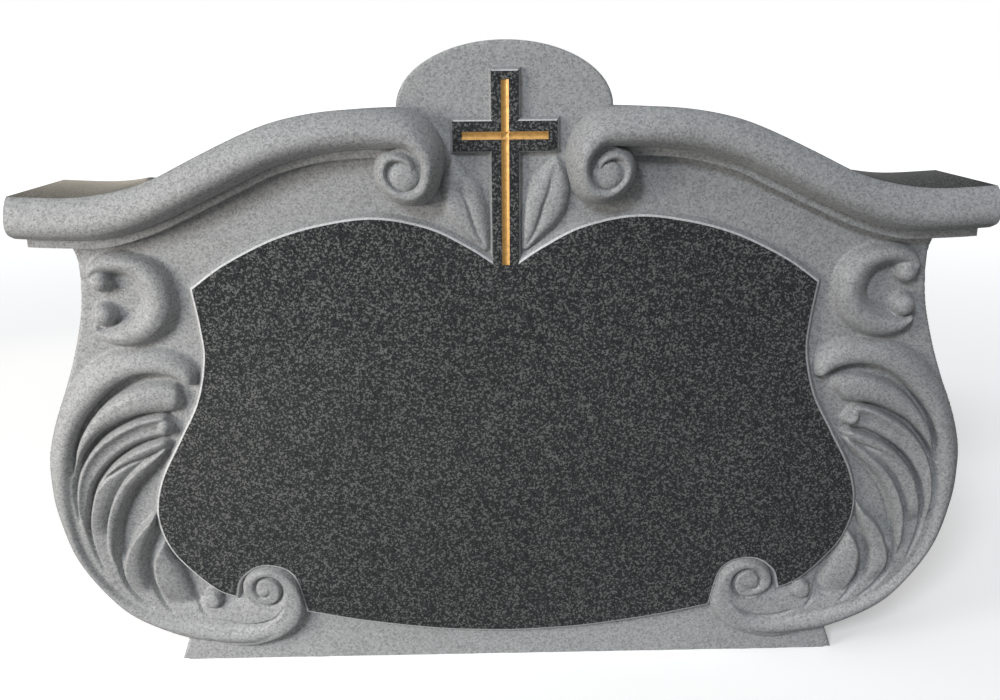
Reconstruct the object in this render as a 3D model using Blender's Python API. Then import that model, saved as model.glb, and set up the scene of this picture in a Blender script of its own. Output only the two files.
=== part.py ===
"""Granite headstone: one slab cut with a shouldered outline, a moulded cornice that sweeps up to two
volutes under a round crown, leaf scrollwork down both sides, and a raised heart-shaped panel with a
raised Latin cross. Metres, +Z up, the carved face looks along -Y, the origin is the middle of the foot.
"""

from math import cos, hypot, pi, radians, sin

import bmesh
import bpy

# Driving sizes
WIDTH = 1.519
HEIGHT = 1.043
SLAB_THICKNESS = 0.175
CORNICE_SPAN = 1.495
CORNICE_PROJECTION = 0.065
FILLET_PROJECTION = 0.022
FILLET_HEIGHT = 0.012
FILLET_END_SETBACK = 0.012
PANEL_PROJECTION = 0.013
PANEL_CHAMFER = 0.010
CROSS_CHAMFER = 0.006
SHAFT_WIDTH = 0.038
SHAFT_TOP_BELOW_CROWN = 0.045
ARM_SPAN = 0.156
ARM_HEIGHT = 0.043
ARM_BELOW_TOP = 0.116
SHAFT_LENGTH = 0.330
CHANNEL_WIDTH = 0.012
CHANNEL_DEPTH = 0.0035
CHANNEL_MARGIN = 0.012
STEM_RELIEF = 0.026
STEM_ARRIS = 0.004
LEAF_RELIEF = 0.022
CURL_RELIEF = 0.028
SCROLL_RELIEF = 0.026
SPANDREL_RELIEF = 0.014
VOLUTE_DRUM_PROJECTION = 0.026
VOLUTE_EYE_RISE = 0.022
VOLUTE_RELIEF = 0.064

# The outline and the carving are drawn at this size and keep their proportions when it changes.
DRAWN_WIDTH = 1.519
DRAWN_HEIGHT = 1.043
SPREAD = WIDTH / DRAWN_WIDTH
RISE = HEIGHT / DRAWN_HEIGHT

FRONT = -SLAB_THICKNESS / 2
BACK = SLAB_THICKNESS / 2
ROOTED = 0.012
SIDES = (-1, 1)

GRANITE_GREY = (0.30, 0.30, 0.30)
GRANITE_ROUGHNESS = 0.6
SMOOTH_BELOW = radians(35)

# Half outline from the foot's underside to the cornice, as (distance from the middle, height).
FOOT_BOTTOM = (0.576, 0.0)
FOOT_TOP = (0.5615, 0.041)
FLANK = (
    FOOT_TOP, (0.636, 0.085), (0.680, 0.126), (0.731, 0.205), (0.754, 0.285), (0.7595, 0.344),
    (0.754, 0.404), (0.726, 0.483), (0.697, 0.561), (0.676, 0.640), (0.6715, 0.715), (0.684, 0.748),
)
UNDER_CORNICE = ((0.684, 0.780), (0.540, 0.800), (0.400, 0.870), (0.230, 0.915))
CROWN_FOOT = (0.165, 0.945)

# Cornice: the arris along its top and the line where its moulding meets the fillet.
CORNICE_TOP = (
    (CORNICE_SPAN / 2, 0.824), (0.700, 0.8215), (0.650, 0.8205), (0.600, 0.8265), (0.540, 0.8415),
    (0.480, 0.8705), (0.400, 0.908), (0.340, 0.930), (0.260, 0.944), (0.153, 0.948),
)
CORNICE_UNDER = (
    (CORNICE_SPAN / 2, 0.756), (0.708, 0.7535), (0.648, 0.752), (0.607, 0.7545), (0.546, 0.7715),
    (0.486, 0.7975), (0.405, 0.836), (0.344, 0.8632), (0.263, 0.8815), (0.153, 0.887),
)
# Moulding section: share of the way down, and share of the way from the fillet to the full projection.
MOULDING = (
    (0.00, 0.49), (0.08, 0.65), (0.22, 0.81), (0.42, 0.95), (0.60, 1.00),
    (0.76, 0.91), (0.90, 0.56), (1.00, 0.00),
)

# How many rings, points or facets each form is made of.
CORNICE_STATIONS = 19
SPIRAL_STATIONS = 33
STEM_STATIONS = 37
LEAF_STATIONS = 11
CURL_STATIONS = 23
SPANDREL_STATIONS = 13
DRUM_POINTS = 28
FLANK_POINTS = 40
CROWN_POINTS = 12
KNOB_SEGMENTS = 10
KNOB_RINGS = 5
FINE_STEPS = 8

# Spirals: the centre, then the outer and inner radius at each eighth of a turn.
EIGHTHS = 8
SPIRAL_FALL = 0.35
SPIRAL_BODY = 0.55
DRUM_SHARE = 0.92
VOLUTE_CENTRE = (0.153, 0.846)
VOLUTE_OUTER = (0.1015, 0.080, 0.057, 0.054, 0.048, 0.045, 0.049, 0.050, 0.0430, 0.035, 0.029)
VOLUTE_INNER = (0.0460, 0.037, 0.031, 0.029, 0.0265, 0.025, 0.025, 0.0235, 0.0225, 0.0235, 0.0245)
VOLUTE_EYE = 0.021
SCROLL_CENTRE = (0.420, 0.127)
SCROLL_OUTER = (0.094, 0.076, 0.054, 0.054, 0.051, 0.044, 0.037, 0.033, 0.0285, 0.0255, 0.023)
SCROLL_INNER = (0.050, 0.040, 0.029, 0.029, 0.028, 0.025, 0.020, 0.017, 0.015, 0.0145, 0.014)
SCROLL_EYE = 0.012
BOSS_CENTRE = (0.517, 0.117)
BOSS_RADIUS = 0.021

# The panel's face, clockwise seen on the right half, with sharp corners between its smooth runs.
PANEL_TOP = (
    (0.019, 0.705), (0.060, 0.732), (0.120, 0.762), (0.200, 0.778), (0.280, 0.770),
    (0.360, 0.748), (0.440, 0.709), (0.494, 0.671),
)
PANEL_SIDE = (
    (0.494, 0.671), (0.486, 0.610), (0.484, 0.555), (0.501, 0.484), (0.535, 0.418),
    (0.572, 0.347), (0.585, 0.285), (0.572, 0.228), (0.541, 0.184), (0.500, 0.145), (0.469, 0.131),
)
PANEL_BITE = (
    (0.469, 0.131), (0.459, 0.164), (0.427, 0.187), (0.387, 0.184), (0.362, 0.160), (0.347, 0.100),
)
PANEL_FOOT = ((0.347, 0.100), (0.250, 0.080), (0.120, 0.062), (0.0, 0.056))
PANEL_RUNS = ((PANEL_TOP, 16), (PANEL_SIDE, 26), (PANEL_BITE, 14), (PANEL_FOOT, 8))
LEAST_MITRE = 0.35

# Strips of carving: upper or outer edge, lower or inner edge, both from the tip to the root.
STEM_TIP = ((0.512, 0.536), (0.535, 0.563), (0.585, 0.575), (0.640, 0.568), (0.690, 0.538))
STEM_FLANK = FLANK[7:0:-1]
STEM_ROOT = ((0.562, 0.046), (0.500, 0.031), (0.450, 0.030), (0.412, 0.038))
STEM_INNER = (
    (0.512, 0.508), (0.540, 0.523), (0.580, 0.533), (0.625, 0.521), (0.670, 0.489), (0.700, 0.450),
    (0.716, 0.410), (0.727, 0.355), (0.731, 0.300), (0.714, 0.225), (0.676, 0.165), (0.630, 0.120),
    (0.575, 0.090), (0.520, 0.092), (0.470, 0.118), (0.440, 0.104),
)
LEAVES = {
    "leaf_1": (
        ((0.538, 0.500), (0.580, 0.516), (0.640, 0.493), (0.685, 0.453), (0.712, 0.400), (0.724, 0.345)),
        ((0.534, 0.478), (0.580, 0.461), (0.640, 0.448), (0.678, 0.420), (0.702, 0.380), (0.716, 0.335)),
    ),
    "leaf_2": (
        ((0.556, 0.452), (0.600, 0.457), (0.655, 0.432), (0.695, 0.390), (0.716, 0.335), (0.722, 0.255)),
        ((0.562, 0.426), (0.600, 0.416), (0.645, 0.393), (0.678, 0.360), (0.701, 0.310), (0.708, 0.245)),
    ),
    "leaf_3": (
        ((0.561, 0.413), (0.600, 0.406), (0.650, 0.381), (0.684, 0.343), (0.703, 0.295), (0.702, 0.200)),
        ((0.563, 0.400), (0.600, 0.377), (0.640, 0.342), (0.665, 0.303), (0.680, 0.255), (0.680, 0.190)),
    ),
    "leaf_4": (
        ((0.566, 0.397), (0.600, 0.374), (0.640, 0.340), (0.668, 0.292), (0.682, 0.240), (0.672, 0.165)),
        ((0.570, 0.384), (0.598, 0.354), (0.633, 0.318), (0.655, 0.275), (0.667, 0.225), (0.656, 0.160)),
    ),
    "leaf_5": (
        ((0.590, 0.300), (0.612, 0.282), (0.636, 0.256), (0.655, 0.222), (0.661, 0.190), (0.648, 0.145)),
        ((0.592, 0.286), (0.606, 0.262), (0.626, 0.238), (0.641, 0.212), (0.647, 0.185), (0.634, 0.140)),
    ),
    "leaf_6": (
        ((0.598, 0.268), (0.612, 0.246), (0.630, 0.222), (0.641, 0.195), (0.641, 0.165), (0.628, 0.130)),
        ((0.594, 0.258), (0.601, 0.232), (0.609, 0.204), (0.613, 0.175), (0.610, 0.148), (0.600, 0.118)),
    ),
    "leaf_7": (
        ((0.590, 0.234), (0.600, 0.206), (0.607, 0.178), (0.607, 0.150), (0.597, 0.122), (0.578, 0.096)),
        ((0.584, 0.230), (0.573, 0.202), (0.562, 0.172), (0.552, 0.144), (0.544, 0.116), (0.534, 0.092)),
    ),
}
CURL = (
    (
        (0.657, 0.698), (0.640, 0.720), (0.600, 0.729), (0.562, 0.716), (0.538, 0.688), (0.530, 0.650),
        (0.537, 0.612), (0.558, 0.588), (0.595, 0.575), (0.635, 0.578), (0.655, 0.598),
    ),
    (
        (0.648, 0.700), (0.632, 0.703), (0.605, 0.701), (0.588, 0.690), (0.580, 0.674), (0.579, 0.655),
        (0.583, 0.640), (0.593, 0.627), (0.612, 0.616), (0.634, 0.604), (0.648, 0.603),
    ),
)
CURL_KNOBS = (((0.640, 0.682), 0.017), ((0.636, 0.625), 0.020))
LEAF_KNOB = ((0.566, 0.437), 0.0125)
SPANDREL_LEAF = (
    ((0.084, 0.882), (0.094, 0.848), (0.099, 0.812), (0.092, 0.775), (0.066, 0.747), (0.033, 0.720)),
    ((0.079, 0.880), (0.057, 0.855), (0.040, 0.822), (0.031, 0.785), (0.028, 0.750), (0.027, 0.719)),
)

# Sections across a strip: share of the way across, and share of the crest's height.
ROUNDED = ((0.0, 0.18), (0.12, 0.62), (0.35, 0.98), (0.6, 0.95), (0.85, 0.55), (1.0, 0.10))
RIMMED = ((0.0, 0.45), (0.15, 1.0), (0.38, 0.72), (0.62, 0.80), (0.85, 0.45), (1.0, 0.12))
CREASED = ((0.0, 0.55), (0.2, 0.85), (0.42, 0.45), (0.58, 0.80), (0.82, 0.75), (1.0, 0.30))

# Crests along a strip from its tip to its root, and the tops of the knobs, as shares of the relief.
STEM_RISES = (0.4, 1, 1, 1, 1, 1, 0.9)
LEAF_RISES = (0.55, 1, 1, 1, 0.8)
CURL_RISES = (0.6, 1, 1, 1, 0.6)
SPANDREL_RISES = (0.6, 1, 1, 0.7)
LEAF_KNOB_RISE = 0.9
CURL_KNOB_RISE = 0.85
SCROLL_KNOB_RISE = 0.8
KNOB_LIFT = 0.2


def place(point):
    """A drawn point at the named width and height."""
    return (point[0] * SPREAD, point[1] * RISE)


def catmull(p0, p1, p2, p3, t):
    return tuple(
        0.5 * (2 * b + (c - a) * t + (2 * a - 5 * b + 4 * c - d) * t**2 + (3 * b - a - 3 * c + d) * t**3)
        for a, b, c, d in zip(p0, p1, p2, p3)
    )


def smooth_run(points, count):
    """count points along the smooth curve through the given ones, in even shares of its spans."""
    ends = [points[0], *points, points[-1]]
    run = []
    for i in range(count):
        at = i / (count - 1) * (len(points) - 1)
        span = min(int(at), len(points) - 2)
        run.append(catmull(*ends[span : span + 4], at - span))
    return run


def even_run(points, count):
    """count points along the smooth curve through the given ones, in even steps of its length."""
    fine = smooth_run(points, FINE_STEPS * len(points))
    travelled = [0.0]
    for a, b in zip(fine, fine[1:]):
        travelled.append(travelled[-1] + hypot(b[0] - a[0], b[1] - a[1]))
    run = []
    k = 0
    for i in range(count):
        want = travelled[-1] * i / (count - 1)
        while k < len(fine) - 2 and travelled[k + 1] < want:
            k += 1
        t = (want - travelled[k]) / (travelled[k + 1] - travelled[k])
        run.append(tuple(a + (b - a) * t for a, b in zip(fine[k], fine[k + 1])))
    return run


def shares(given, count):
    """Values given at even steps, read at count even steps."""
    return [value for (value,) in smooth_run([(value,) for value in given], count)]


def granite(name, colour, roughness):
    material = bpy.data.materials.new(name)
    material.use_nodes = True
    shader = material.node_tree.nodes["Principled BSDF"]
    shader.inputs["Base Color"].default_value = (*colour, 1)
    shader.inputs["Roughness"].default_value = roughness
    return material


def object_from(name, bm, collection):
    bmesh.ops.remove_doubles(bm, verts=bm.verts, dist=1e-6)
    bmesh.ops.triangulate(bm, faces=bm.faces)
    bmesh.ops.recalc_face_normals(bm, faces=bm.faces)
    mesh = bpy.data.meshes.new(name)
    bm.to_mesh(mesh)
    bm.free()
    obj = bpy.data.objects.new(name, mesh)
    collection.objects.link(obj)
    return obj


def as_helper(obj):
    obj.hide_render = True
    obj.display_type = "WIRE"
    return obj


def loft(name, rings, collection):
    """A closed solid through rings of as many points each, with a flat cap at both ends."""
    bm = bmesh.new()
    rows = [[bm.verts.new(point) for point in ring] for ring in rings]
    for row, following in zip(rows, rows[1:]):
        for i in range(len(row)):
            j = (i + 1) % len(row)
            bm.faces.new((row[i], row[j], following[j], following[i]))
    bm.faces.new(rows[0][::-1])
    bm.faces.new(rows[-1])
    return as_helper(object_from(name, bm, collection))


def flat_solid(name, outline, front, back, collection):
    """A filled curve with the thickness from front to back, made a mesh."""
    data = bpy.data.curves.new(name, "CURVE")
    data.dimensions = "2D"
    data.fill_mode = "BOTH"
    data.extrude = (back - front) / 2
    spline = data.splines.new("POLY")
    spline.points.add(len(outline) - 1)
    for point, (x, z) in zip(spline.points, outline):
        point.co = (x, z, 0, 1)
    spline.use_cyclic_u = True
    guide = bpy.data.objects.new(name + "_outline", data)
    guide.location = (0, (front + back) / 2, 0)
    guide.rotation_euler = (pi / 2, 0, 0)
    collection.objects.link(guide)
    bpy.context.view_layer.update()
    graph = bpy.context.evaluated_depsgraph_get()
    mesh = bpy.data.meshes.new_from_object(guide.evaluated_get(graph))
    bm = bmesh.new()
    bm.from_mesh(mesh)
    bm.transform(guide.matrix_world)
    bpy.data.objects.remove(guide)
    bpy.data.meshes.remove(mesh)
    return object_from(name, bm, collection)


def grown(outline, by):
    """A closed outline moved outwards, with mitred corners."""
    area = sum(a[0] * b[1] - b[0] * a[1] for a, b in zip(outline, outline[1:] + outline[:1]))
    turn = 1 if area > 0 else -1
    moved = []
    for i, (x, z) in enumerate(outline):
        before, after = outline[i - 1], outline[(i + 1) % len(outline)]
        normals = []
        for (ax, az), (bx, bz) in ((before, (x, z)), ((x, z), after)):
            length = hypot(bx - ax, bz - az)
            normals.append(((bz - az) / length * turn, (ax - bx) / length * turn))
        nx, nz = (normals[0][0] + normals[1][0]) / 2, (normals[0][1] + normals[1][1]) / 2
        reach = by / max(nx * nx + nz * nz, LEAST_MITRE)
        moved.append((x + nx * reach, z + nz * reach))
    return moved


def raised_plate(name, outline, projection, chamfer, collection):
    """A face standing off the slab, with a slope all round it."""
    base = grown(outline, chamfer)
    rings = (
        [(x, FRONT - projection, z) for x, z in outline],
        [(x, FRONT, z) for x, z in base],
        [(x, FRONT + ROOTED, z) for x, z in base],
    )
    return loft(name, rings, collection)


def set_in(points, by):
    """A run down the stone's outer side, moved in from the edge."""
    moved = []
    for i, (x, z) in enumerate(points):
        before, after = points[max(i - 1, 0)], points[min(i + 1, len(points) - 1)]
        dx, dz = after[0] - before[0], after[1] - before[1]
        moved.append((x + dz / hypot(dx, dz) * by, z - dx / hypot(dx, dz) * by))
    return moved


def strip(name, edges, section, crests, stations, side, collection):
    """A carved strip between two edges. crests gives the relief, then the share of it that the crest has
    at even steps from tip to root."""
    outer = even_run([place(p) for p in edges[0]], stations)
    inner = even_run([place(p) for p in edges[1]], stations)
    relief, rises = crests
    heights = shares([share * relief for share in rises], stations)
    rings = []
    for (ax, az), (bx, bz), height in zip(outer, inner, heights):
        ring = [(side * ax, FRONT + ROOTED, az)]
        for across, share in section:
            x, z = ax + (bx - ax) * across, az + (bz - az) * across
            ring.append((side * x, FRONT - height * share, z))
        ring.append((side * bx, FRONT + ROOTED, bz))
        rings.append(ring)
    return loft(name, rings, collection)


def spiral(name, centre, start, radii, relief, side, collection):
    """A ridge that winds in from the outer to the inner radii. start is the angle of its first station,
    from straight up for a spiral that falls towards the middle, or from straight down for one that rises."""
    cx, cz = place(centre)
    outer, inner = shares(radii[0], SPIRAL_STATIONS), shares(radii[1], SPIRAL_STATIONS)
    last = SPIRAL_STATIONS - 1
    sense = 1 if start == 0 else -1
    rings = []
    for i in range(SPIRAL_STATIONS):
        angle = start + sense * (len(radii[0]) - 1) * 2 * pi / EIGHTHS * i / last
        dx, dz = -sin(angle), cos(angle)
        height = relief * (1 - SPIRAL_FALL * i / last)
        ring = [(outer[i], -ROOTED)]
        for across, share in ROUNDED:
            rise = height * (SPIRAL_BODY + (1 - SPIRAL_BODY) * share)
            ring.append((outer[i] + (inner[i] - outer[i]) * across, rise))
        ring.append((inner[i], -ROOTED))
        rings.append([
            (side * (cx + dx * r * SPREAD), FRONT - h, cz + dz * r * RISE) for r, h in ring
        ])
    return loft(name, rings, collection)


def knob(name, centre, radius, height, side, collection):
    """A flattened ball, sunk in the slab to a little below its middle."""
    bm = bmesh.new()
    bmesh.ops.create_uvsphere(bm, u_segments=KNOB_SEGMENTS, v_segments=KNOB_RINGS, radius=1)
    x, z = place(centre)
    for vert in bm.verts:
        vert.co = (
            side * x + vert.co.x * radius * SPREAD,
            FRONT - (KNOB_LIFT + (1 - KNOB_LIFT) * vert.co.z) * height,
            z + vert.co.y * radius * RISE,
        )
    return as_helper(object_from(name, bm, collection))


def slab_outline():
    """The whole outline, from the right foot round over the crown to the left foot."""
    flank = smooth_run(FLANK, FLANK_POINTS)
    half = [FOOT_BOTTOM, *flank, *UNDER_CORNICE]
    crown = []
    for i in range(CROWN_POINTS):
        angle = pi / 2 * i / CROWN_POINTS
        crown.append((
            CROWN_FOOT[0] * cos(angle),
            CROWN_FOOT[1] + (DRAWN_HEIGHT - CROWN_FOOT[1]) * sin(angle),
        ))
    half = [place(p) for p in half + crown]
    top = [(0.0, HEIGHT)]
    return half + top + [(-x, z) for x, z in reversed(half)]


def build_slab(collection):
    return flat_solid("headstone", slab_outline(), FRONT, BACK, collection)


def build_cornice(side, collection):
    top = even_run([place(p) for p in CORNICE_TOP], CORNICE_STATIONS)
    under = even_run([place(p) for p in CORNICE_UNDER], CORNICE_STATIONS)
    rings = []
    for (ax, az), (bx, bz) in zip(top, under):
        ring = [(side * ax, BACK, az)]
        for down, out in MOULDING:
            reach = FILLET_PROJECTION + (CORNICE_PROJECTION - FILLET_PROJECTION) * out
            ring.append((side * (ax + (bx - ax) * down), FRONT - reach, az + (bz - az) * down))
        ring.append((side * bx, BACK, bz))
        rings.append(ring)
    loft(f"cornice_{side}", rings, collection)
    build_fillet(under, side, collection)


def build_fillet(under, side, collection):
    """The square fillet that the moulding sits on, a little shorter than the moulding at its end."""
    half_width = CORNICE_SPAN / 2 * SPREAD - FILLET_END_SETBACK
    cover = 0.006
    rings = []
    for x, z in under:
        x = min(x, half_width)
        rings.append([
            (side * x, BACK, z + cover), (side * x, FRONT - FILLET_PROJECTION, z + cover),
            (side * x, FRONT - FILLET_PROJECTION, z - FILLET_HEIGHT), (side * x, BACK, z - FILLET_HEIGHT),
        ])
    loft(f"fillet_{side}", rings, collection)


def build_volute(side, collection):
    cx, cz = place(VOLUTE_CENTRE)
    radii = shares(VOLUTE_OUTER[: EIGHTHS + 1], DRUM_POINTS + 1)
    rim = []
    for i in range(DRUM_POINTS):
        angle = 2 * pi * i / DRUM_POINTS
        rim.append((
            side * (cx - sin(angle) * radii[i] * SPREAD * DRUM_SHARE),
            cz + cos(angle) * radii[i] * RISE * DRUM_SHARE,
        ))
    drum = flat_solid(f"volute_drum_{side}", rim, FRONT - VOLUTE_DRUM_PROJECTION, FRONT + ROOTED, collection)
    as_helper(drum)
    spiral(f"volute_{side}", VOLUTE_CENTRE, 0, (VOLUTE_OUTER, VOLUTE_INNER), VOLUTE_RELIEF, side, collection)
    eye = VOLUTE_DRUM_PROJECTION + VOLUTE_EYE_RISE
    knob(f"volute_eye_{side}", VOLUTE_CENTRE, VOLUTE_EYE, eye, side, collection)


def build_scrollwork(side, collection):
    stem = ((*STEM_TIP, *set_in(STEM_FLANK, STEM_ARRIS), *STEM_ROOT), STEM_INNER)
    strip(f"stem_{side}", stem, ROUNDED, (STEM_RELIEF, STEM_RISES), STEM_STATIONS, side, collection)
    for name, edges in LEAVES.items():
        section = ROUNDED if name in ("leaf_1", "leaf_4", "leaf_7") else RIMMED
        strip(f"{name}_{side}", edges, section, (LEAF_RELIEF, LEAF_RISES), LEAF_STATIONS, side, collection)
    knob(f"leaf_knob_{side}", *LEAF_KNOB, LEAF_KNOB_RISE * LEAF_RELIEF, side, collection)
    knob(f"boss_{side}", BOSS_CENTRE, BOSS_RADIUS, SCROLL_KNOB_RISE * SCROLL_RELIEF, side, collection)
    spiral(f"scroll_{side}", SCROLL_CENTRE, pi, (SCROLL_OUTER, SCROLL_INNER), SCROLL_RELIEF, side, collection)
    knob(f"scroll_eye_{side}", SCROLL_CENTRE, SCROLL_EYE, SCROLL_KNOB_RISE * SCROLL_RELIEF, side, collection)


def build_curl(side, collection):
    strip(f"curl_{side}", CURL, ROUNDED, (CURL_RELIEF, CURL_RISES), CURL_STATIONS, side, collection)
    for number, (centre, radius) in enumerate(CURL_KNOBS):
        knob(f"curl_knob_{number}_{side}", centre, radius, CURL_KNOB_RISE * CURL_RELIEF, side, collection)


def build_spandrel_leaf(side, collection):
    crests = (SPANDREL_RELIEF, SPANDREL_RISES)
    strip(f"spandrel_{side}", SPANDREL_LEAF, CREASED, crests, SPANDREL_STATIONS, side, collection)


def panel_outline():
    half = []
    for run, count in PANEL_RUNS:
        half += smooth_run(run, count)[:-1]
    half = [place(p) for p in half]
    bottom = [place(PANEL_FOOT[-1])]
    return half + bottom + [(-x, z) for x, z in reversed(half)]


def cross_outline():
    top = HEIGHT - SHAFT_TOP_BELOW_CROWN
    half_shaft = SHAFT_WIDTH / 2
    half_arm = ARM_SPAN / 2
    arm_top = top - ARM_BELOW_TOP + ARM_HEIGHT
    arm_bottom = top - ARM_BELOW_TOP
    right = [
        (half_shaft, top - SHAFT_LENGTH), (half_shaft, arm_bottom), (half_arm, arm_bottom),
        (half_arm, arm_top), (half_shaft, arm_top), (half_shaft, top),
    ]
    return right + [(-x, z) for x, z in reversed(right)]


def build_channels(collection):
    """Two sunk lines, one down the shaft and one along the arms, for the gilding."""
    top = HEIGHT - SHAFT_TOP_BELOW_CROWN
    half = CHANNEL_WIDTH / 2
    arm_middle = top - ARM_BELOW_TOP + ARM_HEIGHT / 2
    reach = ARM_SPAN / 2 - CHANNEL_MARGIN
    bottom = top - SHAFT_LENGTH + 2 * CHANNEL_MARGIN
    outline = [
        (half, bottom), (half, arm_middle - half), (reach, arm_middle - half), (reach, arm_middle + half),
        (half, arm_middle + half), (half, top - CHANNEL_MARGIN),
    ]
    outline += [(-x, z) for x, z in reversed(outline)]
    face = FRONT - PANEL_PROJECTION
    clear = 0.01
    return as_helper(flat_solid("channels", outline, face - clear, face + CHANNEL_DEPTH, collection))


def boolean(obj, operation, collection):
    modifier = obj.modifiers.new(operation.title(), "BOOLEAN")
    modifier.operation = operation
    modifier.operand_type = "COLLECTION"
    modifier.collection = collection
    modifier.solver = "MANIFOLD"
    modifier.use_self = False


def main():
    for obj in list(bpy.data.objects):
        bpy.data.objects.remove(obj)
    scene = bpy.context.scene.collection
    parts = bpy.data.collections.new("granite_headstone")
    carving = bpy.data.collections.new("carving")
    cutters = bpy.data.collections.new("cutters")
    for collection in (parts, carving, cutters):
        scene.children.link(collection)

    stone = build_slab(parts)
    stone.data.materials.append(granite("granite", GRANITE_GREY, GRANITE_ROUGHNESS))
    for side in SIDES:
        build_cornice(side, carving)
        build_volute(side, carving)
        build_scrollwork(side, carving)
        build_curl(side, carving)
        build_spandrel_leaf(side, carving)
    raised_plate("panel", panel_outline(), PANEL_PROJECTION, PANEL_CHAMFER, carving)
    raised_plate("cross", cross_outline(), PANEL_PROJECTION, CROSS_CHAMFER, carving)
    build_channels(cutters)
    boolean(stone, "UNION", carving)
    boolean(stone, "DIFFERENCE", cutters)
    stone.data.shade_smooth()
    stone.data.set_sharp_from_angle(angle=SMOOTH_BELOW)


main()
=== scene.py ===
"""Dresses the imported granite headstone: the hand carved front, the mouldings that sweep into two volutes,
the polished panel and cross, their gilded lines and the sawn slab behind them. Metres, +Z up, the carved
face looks along -Y."""

from math import cos, pi, radians, sin

import bmesh
import bpy
import numpy as np
from mathutils import Matrix, Vector


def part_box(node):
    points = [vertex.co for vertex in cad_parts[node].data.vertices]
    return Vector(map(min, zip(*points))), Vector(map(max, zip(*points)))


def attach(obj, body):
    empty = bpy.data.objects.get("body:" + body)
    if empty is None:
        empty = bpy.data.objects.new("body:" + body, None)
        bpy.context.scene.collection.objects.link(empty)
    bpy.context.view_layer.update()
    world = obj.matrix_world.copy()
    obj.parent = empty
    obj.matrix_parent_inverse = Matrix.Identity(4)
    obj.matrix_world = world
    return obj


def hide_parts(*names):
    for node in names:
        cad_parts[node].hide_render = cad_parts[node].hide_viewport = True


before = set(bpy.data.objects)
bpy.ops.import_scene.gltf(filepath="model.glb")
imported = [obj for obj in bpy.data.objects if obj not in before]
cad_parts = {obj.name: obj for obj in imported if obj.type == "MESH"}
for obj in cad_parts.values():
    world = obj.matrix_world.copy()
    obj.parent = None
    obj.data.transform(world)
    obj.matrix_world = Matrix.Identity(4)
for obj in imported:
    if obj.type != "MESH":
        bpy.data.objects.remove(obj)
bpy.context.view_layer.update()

bl_info = {
    "name": "Granite headstone",
    "version": (1, 0, 0),
    "blender": (4, 5, 0),
    "location": "3D View > Sidebar > Headstone",
    "description": "Carved front, mouldings, panel, cross and granite for the packed headstone",
    "category": "Add Mesh",
}

NODE = "headstone"
CAD_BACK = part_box(NODE)[1][1]
# The swept pieces end a little inside the slab's back, so that no two faces share a plane.
MOULDING_BACK = CAD_BACK - 0.0006
FILLET_BACK = CAD_BACK - 0.0012
CORNICE_SPAN = 1.495
BACK_BEVEL = 0.003
# How deep the pieces of the front are set into the slab.
ROOTED = 0.012
# The sign of X on each side, and its name.
SIDES = ((-1, "left"), (1, "right"))

# Half outline from the foot's underside to the crown, as (distance from the middle, height).
FOOT_BOTTOM = (0.576, 0.0)
FLANK = (
    (0.5615, 0.041), (0.636, 0.085), (0.680, 0.126), (0.731, 0.205), (0.754, 0.285), (0.7595, 0.344),
    (0.754, 0.404), (0.726, 0.483), (0.697, 0.561), (0.676, 0.640), (0.6715, 0.715), (0.684, 0.748),
)
UNDER_CORNICE = ((0.684, 0.780), (0.540, 0.800), (0.400, 0.870), (0.230, 0.915))
CROWN_FOOT = (0.165, 0.945)
CROWN_TOP = 1.043

# Cornice: the arris along its top and the line where its moulding meets the fillet.
CORNICE_TOP = (
    (CORNICE_SPAN / 2, 0.824), (0.700, 0.8215), (0.650, 0.8205), (0.600, 0.8265), (0.540, 0.8415),
    (0.480, 0.8705), (0.400, 0.908), (0.340, 0.930), (0.260, 0.944), (0.153, 0.948),
)
CORNICE_UNDER = (
    (CORNICE_SPAN / 2, 0.756), (0.708, 0.7535), (0.648, 0.752), (0.607, 0.7545), (0.546, 0.7715),
    (0.486, 0.7975), (0.405, 0.836), (0.344, 0.8632), (0.263, 0.8815), (0.153, 0.887),
)
# Towards the middle the flat top falls to the back, as far as it has to so that it stays out of sight.
TOP_SEEN_FROM = 0.60
TOP_FALLS_OVER = 0.06
CAMERA_HEIGHT = 1.03
TOP_FALL = 0.10
# A moulding's section turns into its volute's over this part of the straight run.
SECTION_TURNS_AT = 0.86
SECTION_TURN = 0.26
VOLUTE_BASE = 0.005
# How far the fillet's top goes up into the moulding.
FOLD_IN = 0.006
# The polished top starts this far behind the face, and faces upwards by at least this much.
POLISHED_BEHIND = 0.003
POLISHED_SLOPE = 0.6
MOULDING_SECTION = (
    (0.00, 0.49), (0.08, 0.66), (0.22, 0.82), (0.42, 0.95), (0.60, 1.00),
    (0.76, 0.90), (0.90, 0.55), (1.00, 0.00),
)
VOLUTE_SECTION = (
    (0.00, 0.00), (0.06, 0.26), (0.20, 0.60), (0.42, 0.88), (0.64, 1.00),
    (0.82, 0.98), (0.94, 0.86), (1.00, 0.70),
)
MARKS = ("crest", "base", "root", "blend", "drop")
FLAT_SECTION = ((0.0, 1.0), (1.0, 1.0))
GUTTER_SECTION = ((0.0, 1.0), (0.18, 0.55), (0.5, 0.05), (0.82, 0.55), (1.0, 1.0))

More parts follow.
